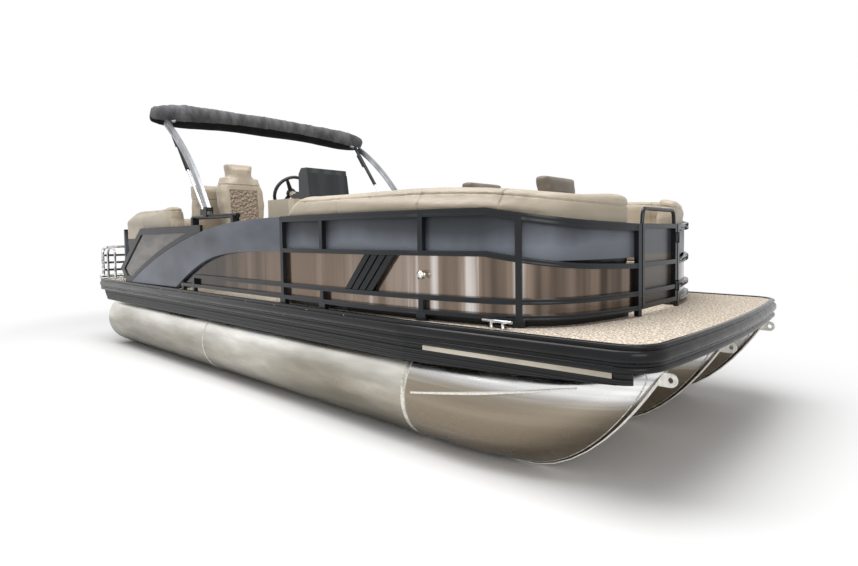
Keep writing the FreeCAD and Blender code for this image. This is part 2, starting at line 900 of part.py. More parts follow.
# Fence on both sides, with its rails, posts, feet and panels.
def fence_frame():
    """Rails, posts and feet of the starboard side, welded together."""
    pieces = rail_run(top_rail_z, top_rail_height, swoosh_fore_station, True)
    pieces += rail_run(second_rail_z, rail_height, swoosh_fore_station, True)
    pieces += rail_run(third_rail_z, rail_height, swoosh_post_station, False)
    pieces += rail_run(bottom_rail_z, rail_height, bottom_rail_station, False)
    for station in post_stations + half_post_stations:
        spot, heading = fence_point(station, 0)
        drop = sheer_drop(spot.x)
        spans = [(bottom_rail_z, top_rail_z - drop)]
        if station in half_post_stations:
            spans = [(bottom_rail_z, third_rail_z), (second_rail_z - drop, top_rail_z - drop)]
        for low, high in spans:
            pieces.append(post_at(station, post_width, low, high))
        pieces.append(post_at(station, foot_length, deck_top, bottom_rail_z))
    pieces.append(post_at(swoosh_post_station, post_width, deck_top, third_rail_z))
    pieces.append(post_at(bottom_rail_station - post_width, post_width, deck_top, bottom_rail_z))
    pieces.append(gate_post())
    return fused(pieces)


def gate_post():
    turn = math.degrees(gate_turn)
    spot = arc_c_centre + V(bow_radius * math.sin(gate_turn), -bow_radius * math.cos(gate_turn), 0)
    high = top_rail_z - sheer_drop(spot.x) + top_rail_height / 2
    post = Part.makeBox(post_width, rail_depth, high - deck_top, V(-post_width, 0, deck_top))
    post.rotate(V(0, 0, 0), UP, turn)
    post.translate(spot)
    return post


def wedge(level):
    """Everything above a line that drops with the sheer at the bow."""
    gate_x = x_at(0)
    points = [
        V(x_at(deck_aft_station), -deck_half_width, level),
        V(x_at(sheer_station), -deck_half_width, level),
        V(gate_x, -deck_half_width, level - sheer_drop(gate_x)),
        V(gate_x, -deck_half_width, deck_top + deck_half_width),
        V(x_at(deck_aft_station), -deck_half_width, deck_top + deck_half_width),
    ]
    return polygon_face(points).extrude(V(0, deck_half_width, 0))


def panel_run(low, high, low_sheer):
    """A skin behind the rails from the swept panel to the gate post."""
    inner = rail_depth + seat_gap
    profile = ring_profile(inner, inner + panel_thickness, low - (overrun if low_sheer else 0), high)
    pieces = [fence_side(profile, swoosh_fore_station)] + [fence_arc(profile, i) for i in range(3)]
    skin = fused(pieces).cut(wedge(high))
    if not low_sheer:
        return skin
    return skin.common(wedge(low))


def side_gate_gap():
    """The opening in the port fence for the side gate."""
    aft = side_gate_fore_station + side_gate_width
    return box(side_gate_fore_station, aft, fence_half_width - overrun - post_width, fence_half_width + overrun, deck_top, top_rail_z + top_rail_height)


def fences():
    frame = fence_frame()
    export("fence_frame_starboard", frame)
    port = mirrored(frame).cut(side_gate_gap())
    posts = []
    for station in (side_gate_fore_station - post_width / 2, side_gate_fore_station + side_gate_width + post_width / 2):
        posts.append(mirrored(post_at(station, post_width, deck_top, top_rail_z)))
    posts += hinge_post_side(bow_hinge_axis(), V(0, 1, 0), V(1, 0, 0))
    posts += hinge_post_side(side_hinge_axis(), V(-1, 0, 0), V(0, -1, 0))
    export("fence_frame_port", fused([port] + posts))
    upper = panel_run(second_rail_z, top_rail_z, True)
    lower = panel_run(bottom_rail_z, second_rail_z, False)
    hinges = Part.makeCompound(hinge_post_side(side_hinge_axis(), V(-1, 0, 0), V(0, -1, 0)))
    for name, skin in (("upper_panels", upper), ("lower_panels", lower)):
        port_skin = mirrored(skin).cut(side_gate_gap()).cut(hinges)
        export(name, [skin] + port_skin.Solids)


def spline_edge(points, y):
    curve = Part.BSplineCurve()
    curve.interpolate([V(x_at(s), y, z) for s, z in points])
    return curve.toShape()


def share_points(shares, station0, z0, station1, z1):
    return [(station0 + (station1 - station0) * a, z0 + (z1 - z0) * b) for a, b in shares]


def face_line(a, b):
    """A line on the fence's outer face between two (station, z) points."""
    return Part.makeLine(V(x_at(a[0]), -fence_half_width, a[1]), V(x_at(b[0]), -fence_half_width, b[1]))


def under_points():
    return share_points(swoosh_under_shares, swoosh_under_station, swoosh_under_low, swoosh_fore_station, swoosh_under_high)


def quarter_band():
    """The swept graphite band from the deck up to the fence's top rail."""
    top = share_points(swoosh_top_shares, swoosh_aft_station, swoosh_low, swoosh_fore_station, swoosh_high)
    under = under_points()
    face_y = -fence_half_width
    rim = [spline_edge(top, face_y), face_line(top[-1], under[-1])]
    rim += [spline_edge(under, face_y), face_line(under[0], top[0])]
    band = Part.Face(Part.Wire(Part.sortEdges(rim)[0])).extrude(V(0, swoosh_thickness, 0))
    half = post_width / 2
    post = box(swoosh_fore_station - half, swoosh_fore_station + half, face_y, 0, deck_top, top_rail_z + top_rail_height)
    return band.cut(post).Solids[0]


def quarter_panels():
    """The swept bands and the bronze panels under them."""
    export("quarter_panels", pair(quarter_band()))
    under = under_points()
    face_y = -fence_half_width
    aft_low = (swoosh_under_station - post_width, bottom_rail_z + rail_height / 2)
    fore_low = (swoosh_fore_station + post_width / 2, aft_low[1])
    skin_y = face_y + rail_depth + seat_gap
    blank = side_plate([aft_low, fore_low, (fore_low[0], swoosh_high), (aft_low[0], swoosh_high)], skin_y, skin_y + panel_thickness)
    lowered = [(s, z + rail_height / 2) for s, z in under]
    ceiling = [(under[0][0] + overrun, swoosh_high + overrun), (under[-1][0] - overrun, swoosh_high + overrun)]
    corners = [lowered[-1], (ceiling[1][0], lowered[-1][1]), ceiling[1], ceiling[0], (ceiling[0][0], lowered[0][1]), lowered[0]]
    cut_rim = [spline_edge(lowered, face_y)] + [face_line(a, b) for a, b in zip(corners, corners[1:])]
    above = Part.Face(Part.Wire(Part.sortEdges(cut_rim)[0])).extrude(V(0, fence_half_width, 0))
    export("quarter_skins", pair(blank.cut(above).Solids[0]))


def window_solid(inset, thickness, sill_rise):
    """The aft window's surround, inset from its edges, above the swept band."""
    y = -fence_half_width
    top = share_points(swoosh_top_shares, swoosh_aft_station, swoosh_low, swoosh_fore_station, swoosh_high)
    outline = [
        (swoosh_aft_station, swoosh_low),
        (window_foot_station, swoosh_low),
        (window_chevron_station, window_chevron_z),
        (window_corner_station, window_corner_z),
        (window_fore_station, window_fore_z),
        (window_fore_station, swoosh_low),
    ]
    face = polygon_face([V(x_at(s), y, z) for s, z in outline])
    if inset:
        face = face.makeOffset2D(-inset).Faces[0]
    plate = face.extrude(V(0, thickness, 0))
    close = [V(x_at(swoosh_fore_station), y, swoosh_low - overrun), V(x_at(swoosh_aft_station), y, swoosh_low - overrun)]
    rim = [
        spline_edge(top, y),
        Part.makeLine(V(x_at(top[-1][0]), y, top[-1][1]), close[0]),
        Part.makeLine(close[0], close[1]),
        Part.makeLine(close[1], V(x_at(top[0][0]), y, top[0][1])),
    ]
    below = Part.Face(Part.Wire(rim)).extrude(V(0, thickness, 0))
    below.translate(V(0, 0, sill_rise))
    return plate.cut(below).Solids[0]


def aft_windows():
    """Chevron frames behind the swept bands, glazed with smoked sheet."""
    frame = window_solid(0, window_frame_thickness, 0)
    hole = window_solid(window_frame_width, window_frame_thickness, window_sill_rise)
    export("window_frames", pair(frame.cut(hole).Solids[0]))
    glass = window_solid(window_frame_width, window_thickness, window_sill_rise)
    glass.translate(V(0, (window_frame_thickness - window_thickness) / 2, 0))
    export("aft_windows", pair(glass))


def louvres():
    """Four leaning black bars between the rails of each side's bronze panel."""
    low = third_rail_z + rail_height / 2
    high = second_rail_z - rail_height / 2
    bars = []
    for i in range(louvre_count):
        station = louvre_fore_station + i * (louvre_width + louvre_gap)
        outline = [
            V(louvre_lean / 2, 0, high),
            V(louvre_lean / 2 - louvre_width, 0, high),
            V(-louvre_lean / 2 - louvre_width, 0, low),
            V(-louvre_lean / 2, 0, low),
        ]
        bar = polygon_face(outline).extrude(V(0, louvre_depth, 0))
        spot, heading = fence_point(station + louvre_lean / 2, louvre_setback)
        bar.rotate(V(0, 0, 0), UP, heading)
        bar.translate(spot)
        bars.append(bar)
    export("louvres", bars)


def frame_loop(width, low, high, tube, depth):
    """A welded upright frame of square tube in the y-z plane, from y 0."""
    outer = Part.makeBox(depth, width, high - low, V(0, 0, low))
    inner = Part.makeBox(depth, width - 2 * tube, high - low - 2 * tube, V(0, tube, low + tube))
    return outer.cut(inner)


def hinge_post_side(axis, post_way, face_way):
    """Pins of a gate's two hinges, with the lugs that hold them to the post."""
    pieces = []
    for z in hinge_heights:
        foot = axis + V(0, 0, z)
        top = hinge_barrel_length + hinge_lug_thickness
        pieces.append(rod(foot - V(0, 0, hinge_lug_thickness), foot + V(0, 0, top), hinge_rod_radius))
        for low in (-hinge_lug_thickness, hinge_barrel_length):
            corner = foot + V(0, 0, low)
            lug = rod(corner, corner + V(0, 0, hinge_lug_thickness), hinge_barrel_radius)
            arm = hinge_plate(corner, post_way, face_way, hinge_leaf_reach, hinge_lug_thickness)
            root = hinge_root(corner, post_way, face_way)
            pieces += [lug, arm, root]
    return pieces


def hinge_plate(corner, way, face_way, reach, height):
    """A plate from a hinge's axis back to the face that carries it."""
    back = corner - face_way * hinge_proud
    plate = polygon_face([back, back + way * reach, corner + way * reach - face_way * (hinge_proud / 2), corner])
    return plate.extrude(V(0, 0, height))


def hinge_root(corner, way, face_way):
    """The foot of a hinge's plate, let into the post behind it."""
    run = way * (hinge_leaf_reach * hinge_root_share)
    near = corner + way * hinge_leaf_reach - run - face_way * (hinge_proud / 2)
    deep = near - face_way * (hinge_proud / 2 + hinge_root_depth)
    return polygon_face([near, near + run, deep + run, deep]).extrude(V(0, 0, hinge_lug_thickness))


def hinge_leaf_side(axis, leaf_way, face_way):
    """Barrels of a gate's two hinges, with the plates that join the leaf."""
    pieces = []
    for z in hinge_heights:
        foot = axis + V(0, 0, z + hinge_play)
        length = hinge_barrel_length - 2 * hinge_play
        pieces.append(rod(foot, foot + V(0, 0, length), hinge_barrel_radius))
        pieces.append(hinge_plate(foot, leaf_way, face_way, hinge_leaf_reach, length))
    return pieces


def hinge_bores(axis):
    length = hinge_barrel_length
    return [rod(axis + V(0, 0, z), axis + V(0, 0, z + length), hinge_rod_radius + rod_play) for z in hinge_heights]


def hinged_leaf(pieces, axis, leaf_way, face_way):
    """A gate leaf with its hinge barrels welded on and bored."""
    leaf = fused(pieces + hinge_leaf_side(axis, leaf_way, face_way))
    return leaf.cut(Part.makeCompound(hinge_bores(axis)))


def bow_hinge_axis():
    face = x_at(0) + gate_x_offset() + rail_depth / 2
    edge = gate_post_half_gap - gate_clearance - hinge_pin_radius
    return V(face + hinge_proud, edge + hinge_inset, 0)


def side_hinge_axis():
    edge = x_at(side_gate_fore_station + side_gate_width) + gate_clearance + hinge_pin_radius
    return V(edge - hinge_inset, fence_half_width - rail_depth - hinge_proud, 0)


def stern_hinge_axis():
    edge = stern_gate_outer - gate_clearance - hinge_pin_radius
    return V(x_at(stern_fence_station) - hinge_proud, edge + hinge_inset, 0)


def bow_gate():
    """The bow gate leaf with a raised top bar, hinged at its port post."""
    x = x_at(0) + gate_x_offset()
    half = gate_post_half_gap - gate_clearance - hinge_pin_radius
    top = top_rail_z - sheer_drop(x) + top_rail_height / 2
    loop = frame_loop(2 * half, gate_bottom, top, gate_tube, rail_depth)
    loop.translate(V(x - rail_depth / 2, -half, 0))
    arch = bent_tube([
        V(x, -half + gate_tube / 2, top - gate_tube),
        V(x, -half + bow_gate_arch_inset, top + bow_gate_arch_height),
        V(x, half - bow_gate_arch_inset, top + bow_gate_arch_height),
        V(x, half - gate_tube / 2, top - gate_tube),
    ], bow_gate_arch_inset, bow_gate_arch_radius)
    bars = []
    for z in (second_rail_z - sheer_drop(x), third_rail_z):
        bars.append(Part.makeBox(rail_depth, 2 * half, rail_height, V(x - rail_depth / 2, -half, z - rail_height / 2)))
    export("bow_gate_frame", hinged_leaf([loop, arch] + bars, bow_hinge_axis(), V(0, -1, 0), V(1, 0, 0)))
    skin = Part.makeBox(panel_thickness, 2 * half - gate_tube, top - gate_bottom - gate_tube, V(x - rail_depth / 2 - panel_thickness - seat_gap, -half + gate_tube / 2, gate_bottom + gate_tube / 2))
    export("bow_gate_panel", skin)


def gate_x_offset():
    """X of the middle of the bow gate, from the end of the last arc."""
    return arc_c_centre.x + bow_radius * math.sin(gate_turn) - rail_depth / 2 - x_at(0)


def side_gate():
    """The port boarding gate, hinged at its aft post and opening inboard."""
    low = gate_bottom
    high = top_rail_z + top_rail_height / 2
    width = side_gate_width - 2 * gate_clearance - hinge_pin_radius
    x0 = x_at(side_gate_fore_station + side_gate_width) + gate_clearance + hinge_pin_radius
    y0 = fence_half_width - rail_depth
    outer = Part.makeBox(width, rail_depth, high - low, V(x0, y0, low))
    inner = Part.makeBox(width - 2 * gate_tube, rail_depth, high - low - 2 * gate_tube, V(x0 + gate_tube, y0, low + gate_tube))
    bars = []
    for z in (second_rail_z, third_rail_z):
        bars.append(Part.makeBox(width, rail_depth, rail_height, V(x0, y0, z - rail_height / 2)))
    export("side_gate_frame", hinged_leaf([outer.cut(inner)] + bars, side_hinge_axis(), V(1, 0, 0), V(0, -1, 0)))
    corner = V(x0 + gate_tube / 2, y0 - panel_thickness - seat_gap, low + gate_tube / 2)
    skin = Part.makeBox(width - gate_tube, panel_thickness, high - low - gate_tube, corner)
    leaves = hinge_leaf_side(side_hinge_axis(), V(1, 0, 0), V(0, -1, 0))
    export("side_gate_panel", skin.cut(Part.makeCompound(leaves)))


def stern_fence():
    """Fence across the stern with an opening for its gate on the port side."""
    x = x_at(stern_fence_station)
    side_y = fence_half_width - window_frame_thickness - seat_gap
    rails = []
    for z, height in ((stern_fence_top, top_rail_height), (second_rail_z - rail_height, rail_height), (bottom_rail_z, rail_height)):
        rails.append(Part.makeBox(rail_depth, side_y + stern_gate_inner, height, V(x, -side_y, z - height / 2)))
        rails.append(Part.makeBox(rail_depth, side_y - stern_gate_outer, height, V(x, stern_gate_outer, z - height / 2)))
    for y in (-side_y, -stern_gate_inner + post_width, stern_gate_inner - post_width, stern_gate_outer):
        rails.append(Part.makeBox(rail_depth, post_width, stern_fence_top - deck_top, V(x, y, deck_top)))
    rails += hinge_post_side(stern_hinge_axis(), V(0, 1, 0), V(-1, 0, 0))
    export("fence_frame_stern", fused(rails))
    skin_x = x + rail_depth + seat_gap
    skins = [Part.makeBox(panel_thickness, side_y + stern_gate_inner - gate_tube, stern_fence_top - bottom_rail_z, V(skin_x, -side_y, bottom_rail_z))]
    export("stern_panel", skins)


def stern_gate():
    """The stern gate leaf, hinged at its outer post and opening aft."""
    x = x_at(stern_fence_station)
    y0 = stern_gate_inner + gate_clearance
    width = stern_gate_outer - gate_clearance - hinge_pin_radius - y0
    loop = frame_loop(width, gate_bottom, stern_gate_top, gate_tube, rail_depth)
    loop.translate(V(x, y0, 0))
    bar = Part.makeBox(rail_depth, width, rail_height, V(x, y0, second_rail_z - 2 * rail_height))
    export("stern_gate_frame", hinged_leaf([loop, bar], stern_hinge_axis(), V(0, -1, 0), V(-1, 0, 0)))
    skin = Part.makeBox(panel_thickness, width - gate_tube, stern_gate_top - gate_bottom - gate_tube, V(x + rail_depth + seat_gap, y0 + gate_tube / 2, gate_bottom + gate_tube / 2))
    export("stern_gate_panel", skin)


def cleat(spot, heading):
    """A folding mooring cleat: a long horn bar on a base with two legs."""
    bar = rod(V(-cleat_length / 2, 0, cleat_height), V(cleat_length / 2, 0, cleat_height), cleat_tube_radius)
    corner = V(-cleat_base_length / 2, -cleat_base_half_width, 0)
    base = Part.makeBox(cleat_base_length, cleat_base_half_width * 2, cleat_tube_radius, corner)
    legs = [rod(V(x, 0, 0), V(x, 0, cleat_height), cleat_tube_radius) for x in (-cleat_leg_offset, cleat_leg_offset)]
    whole = fused([bar, base] + legs)
    whole.rotate(V(0, 0, 0), UP, heading)
    whole.translate(spot)
    return whole


def deck_hardware():
    pieces = []
    for station in cleat_stations:
        y = -outline_half_width(station) + cleat_inset
        pieces += pair(cleat(V(x_at(station), y, deck_top + seat_gap), 0))
    export("cleats", pieces)
    y = -(deck_half_width - grab_inset)
    low = deck_top
    high = deck_top + grab_height
    points = [V(x_at(grab_fore_station), y, low), V(x_at(grab_fore_station), y, high), V(x_at(grab_aft_station), y, high), V(x_at(grab_aft_station), y, low)]
    export("grab_rail", bent_tube(points, grab_bend, grab_radius))
    spot, heading = fence_point(light_post_station, rail_depth)
    lamp = Part.makeCylinder(light_radius, light_depth, V(0, 0, 0), V(0, -1, 0))
    nose = Part.makeCone(light_radius, light_radius / 2, light_radius / 2, V(0, -light_depth, 0), V(0, -1, 0))
    lamp = lamp.fuse(nose)
    lamp.rotate(V(0, 0, 0), UP, heading)
    lamp.translate(spot + V(0, 0, light_z))
    export("side_lights", pair(lamp))


# Upholstery: couches that follow the fence, and benches and chaise backs.
def fence_band(profile, aft_station):
    """A profile carried along the starboard fence and round the bow."""
    return fused([fence_side(profile, aft_station)] + [fence_arc(profile, i) for i in range(3)])


def rounded_box(station_a, station_b, y0, y1, z0, z1, radius):
    block = box(station_a, station_b, y0, y1, z0, z1)
    return block.makeChamfer(radius, block.Edges)


def couches():
    seat_low = couch_seat_z - couch_seat_thickness
    base_profile = ring_profile(couch_base_offset, couch_base_offset + couch_base_depth, deck_top, seat_low)
    back_inner = couch_back_offset + couch_back_depth
    seat_profile = ring_profile(couch_seat_start, couch_seat_start + couch_seat_depth, seat_low + seat_gap, couch_seat_z)
    back_profile = [
        (couch_back_offset, seat_low - couch_seat_thickness),
        (back_inner, seat_low - couch_seat_thickness),
        (back_inner, couch_back_top - cushion_round),
        (back_inner - cushion_round, couch_back_top),
        (couch_back_offset + cushion_round, couch_back_top),
        (couch_back_offset, couch_back_top - cushion_round),
    ]
    bases, seats, backs = [], [], []
    for aft, side in ((couch_aft_station, -1), (port_couch_aft_station, 1)):
        run = max(aft, bow_curve_station + overrun)
        for group, profile, low, slope in (
            (bases, base_profile, deck_top, False),
            (seats, seat_profile, seat_low + seat_gap, False),
            (backs, back_profile, seat_low + seat_gap, True),
        ):
            end = aft - chaise_thickness - seat_gap if slope and side > 0 else aft
            keep = box(-overrun, end, -fence_half_width, -couch_gate_gap, low, couch_back_top)
            piece = fence_band(profile, run).common(keep)
            if slope:
                piece = piece.cut(wedge(couch_back_top))
            piece = piece.Solids[0]
            group.append(piece if side < 0 else mirrored(piece))
    y = fence_half_width - rail_depth - panel_thickness - seat_gap
    base_in = y - couch_base_depth - couch_back_depth / 2
    bases.append(box(mid_couch_fore_station, mid_couch_aft_station, base_in, y - seat_gap, deck_top, seat_low))
    seat_in = base_in - cushion_round
    back_out = mid_couch_back_y
    back_in = back_out - couch_back_depth
    fore = mid_couch_fore_station + chaise_thickness + seat_gap
    aft = mid_couch_aft_station
    low = seat_low + seat_gap
    seats.append(rounded_box(fore, aft, seat_in, back_in - seat_gap, low, couch_seat_z, cushion_round))
    backs.append(rounded_box(fore, aft, back_in, back_out, low, couch_back_top, cushion_round))
    back_in = y - couch_back_depth
    aft = aft_couch_aft_station
    bench_fore = aft - stern_bench_depth
    side_base = box(aft_couch_fore_station, aft, -y + seat_gap, -base_in, deck_top, seat_low)
    stern_base = box(bench_fore, aft, -y + seat_gap, stern_bench_port, deck_top, seat_low)
    bases.append(side_base.fuse(stern_base).removeSplitter())
    back_fore = aft - couch_back_depth
    side_seat = box(aft_couch_fore_station + chaise_thickness + seat_gap, back_fore - seat_gap, -back_in + seat_gap, -seat_in, seat_low + seat_gap, couch_seat_z)
    stern_seat = box(bench_fore - cushion_round, back_fore - seat_gap, -back_in + seat_gap, stern_bench_port, seat_low + seat_gap, couch_seat_z)
    seats.append(side_seat.fuse(stern_seat).removeSplitter())
    side_back = box(aft_couch_fore_station + chaise_thickness + seat_gap, aft, -y + seat_gap, -back_in, seat_low + seat_gap, couch_back_top)
    stern_back = box(back_fore, aft, -y + seat_gap, stern_bench_port, seat_low + seat_gap, couch_back_top)
    backs.append(side_back.fuse(stern_back).removeSplitter())
    export("couch_bases", bases)
    export("couch_seats", seats)
    export("couch_backs", backs)


def chaise_backs():
    """Raised backs with headrests at the ends of the couches."""
    pieces = []
    seat_low = couch_seat_z - couch_seat_thickness
    for station, lean, side, low in (
        (port_couch_aft_station, -1, 1, couch_seat_z),
        (mid_couch_fore_station, 1, 1, seat_low),
        (aft_couch_fore_station, 1, -1, seat_low),
    ):
        middle = side * chaise_middle
        near = station if lean > 0 else station - seat_gap
        foot = [(near, low + seat_gap), (near + lean * chaise_thickness, low + seat_gap)]
        head = [(near + lean * chaise_thickness - lean * chaise_lean, chaise_top), (near - lean * chaise_lean, chaise_top)]
        outline = foot + head
        pieces.append(side_plate(outline, middle - chaise_half_width, middle + chaise_half_width))
    export("chaise_backs", pieces)


def console():
    """Helm console with a leaning front, a black pod and a low windscreen."""
    outline = [
        (console_fore_station, deck_top),
        (console_fore_station + console_lean, console_top),
        (console_aft_station, console_top),
        (console_aft_station, deck_top),
    ]
    body = side_plate(outline, -console_outer, -console_inner)
    upright = [e for e in body.Edges if e.BoundBox.ZLength > console_top / 4]
    body = body.makeFillet(cushion_round, upright)
    start = wheel_centre() + wheel_axis() * wheel_column_gap
    column = rod(start, start + wheel_axis() * wheel_column_length, wheel_column_radius)
    shaft = rod(wheel_centre() - wheel_axis() * wheel_rim_radius, start, wheel_shaft_radius)
    export("console_body", fused([body, column, shaft]))
    sleeve = rod(start, start + wheel_axis() * wheel_column_length, wheel_column_radius + seat_gap)
    pod_fore = console_fore_station + console_lean + pod_setback
    pod_aft = pod_fore + pod_length
    outline = [
        (pod_fore, console_top + seat_gap),
        (pod_fore + pod_rake, console_top + pod_height),
        (pod_fore + pod_rake + pod_crest, console_top + pod_height),
        (pod_aft, console_top + pod_shoulder_height),
        (pod_aft, console_top + pod_dash_height),
        (console_aft_station, console_top + pod_aft_height),
        (console_aft_station, console_top + seat_gap),
    ]
    pod = side_plate(outline, -console_outer + pod_outer_inset, -console_inner - pod_inner_inset)
    export("console_pod", pod.cut(sleeve))
    lean = pod_rake / pod_height
    low = console_top + seat_gap
    start = pod_fore - 2 * seat_gap
    outline = [
        (start, low),
        (start + screen_height * lean, low + screen_height),
        (start + screen_height * lean - screen_thickness, low + screen_height),
        (start - screen_thickness, low),
    ]
    export("windscreen", side_plate(outline, -console_outer + pod_outer_inset, -console_inner - pod_inner_inset))


def wheel_centre():
    return V(x_at(wheel_station), wheel_y, wheel_z)


def wheel_axis():
    """Unit vector from the wheel forward and down into the console."""
    tilt = math.radians(wheel_tilt)
    return V(math.cos(tilt), 0, -math.sin(tilt))


def steering_wheel():
    section = []
    for i in range(wheel_rim_sides):
        angle = 2 * math.pi * (i + 0.5) / wheel_rim_sides
        reach = wheel_radius - wheel_rim_radius + wheel_rim_radius * math.cos(angle)
        section.append(V(reach, 0, wheel_rim_radius * math.sin(angle)))
    rim = polygon_face(section).revolve(V(0, 0, 0), UP, 360)
    hub = Part.makeCylinder(wheel_hub_radius, wheel_rim_radius * 2, V(0, 0, -wheel_rim_radius))
    pieces = [rim, hub]
    for i in range(wheel_spoke_count):
        spoke = Part.makeBox(wheel_radius - wheel_rim_radius, wheel_rim_radius * 2, wheel_rim_radius, V(0, -wheel_rim_radius, -wheel_rim_radius / 2))
        spoke.rotate(V(0, 0, 0), UP, 90 + 360 * i / wheel_spoke_count)
        pieces.append(spoke)
    bore = rod(V(0, 0, -wheel_hub_radius), V(0, 0, wheel_hub_radius), wheel_shaft_radius + rod_play)
    wheel = fused(pieces).cut(bore)
    wheel.rotate(V(0, 0, 0), V(0, 1, 0), 90 + wheel_tilt)
    wheel.translate(wheel_centre())
    export("steering_wheel", wheel)


def throttle():
    x = x_at(console_aft_station)
    foot = Part.makeBox(throttle_width, throttle_width, throttle_height, V(x - throttle_width, throttle_y - throttle_width / 2, console_top - throttle_height))
    lever = rod(V(x - throttle_width / 2, throttle_y, console_top), V(x - throttle_width, throttle_y, console_top + throttle_height), throttle_lever_radius)
    top = console_top + throttle_height
    knob = rod(V(x - throttle_width, throttle_y - throttle_width / 2, top), V(x - throttle_width, throttle_y + throttle_width / 2, top), throttle_knob_radius)
    export("throttle", fused([foot, lever, knob]))


def helm_seat():
    """Pedestal fixed to the deck and the high-backed seat that swivels."""
    spot = V(x_at(helm_station), helm_y, deck_top)
    plate_low = swivel_z - swivel_plate_thickness
    foot = Part.makeCylinder(pedestal_foot_radius, pedestal_foot_height, spot)
    column = Part.makeCylinder(pedestal_radius, plate_low - seat_gap - deck_top, spot)
    export("helm_pedestal", foot.fuse(column))
    half_width = helm_seat_width / 2
    half_depth = helm_seat_depth / 2
    seat = rounded_box(helm_station - half_depth, helm_station + half_depth, helm_y - half_width, helm_y + half_width, swivel_z, swivel_z + helm_seat_thickness, cushion_round)
    low = swivel_z + helm_seat_thickness / 2
    near = helm_station + half_depth - helm_back_thickness
    outline = [
        (near, low),
        (near + helm_back_lean, helm_back_top),
        (near + helm_back_lean + helm_back_thickness, helm_back_top),
        (near + helm_back_thickness, low),
    ]
    back = side_plate(outline, helm_y - helm_back_width / 2, helm_y + helm_back_width / 2)
    head_low = near + helm_back_lean
    outline = [
        (head_low, helm_back_top),
        (head_low + cushion_round / 2, helm_head_top),
        (head_low + helm_back_thickness, helm_head_top),
        (head_low + helm_back_thickness, helm_back_top),
    ]
    head = side_plate(outline, helm_y - helm_head_width / 2, helm_y + helm_head_width / 2)
    export("helm_seat", fused([seat, back, head]))
    reach = half_width + arm_width
    half_plate = swivel_plate_length / 2
    plate = box(helm_station - half_plate, helm_station + half_plate, helm_y - reach, helm_y + reach, plate_low, swivel_z - seat_gap)
    arms = [plate]
    for side in (-1, 1):
        inner = helm_y + side * (half_width + arm_gap)
        outer = inner + side * arm_width
        arms.append(box(helm_station - arm_width / 2, helm_station + arm_width / 2, inner, outer, plate_low, swivel_z + arm_height))
        low = swivel_z + arm_height - arm_width / 2
        arms.append(box(helm_station - arm_length / 2, helm_station + arm_length / 2, inner, outer, low, low + arm_width))
    export("helm_seat_arms", fused(arms))


# Folding top: the arch leans aft on two lift struts.
def arch_point(y, reach):
    """A point of the arch's leaning plane, a reach up from its feet."""
    x = x_at(arch_foot_station) - reach * math.cos(arch_angle)
    return V(x, y, arch_foot_z + reach * math.sin(arch_angle))


def strut_y():
    return arch_half_width - arch_tumble - arch_tube_radius - sleeve_radius - strut_side_gap


def strut_ends():
    pin = arch_point(-strut_y(), strut_pin_reach)
    eye = V(x_at(strut_eye_station), -strut_y(), strut_eye_z)
    return pin, eye


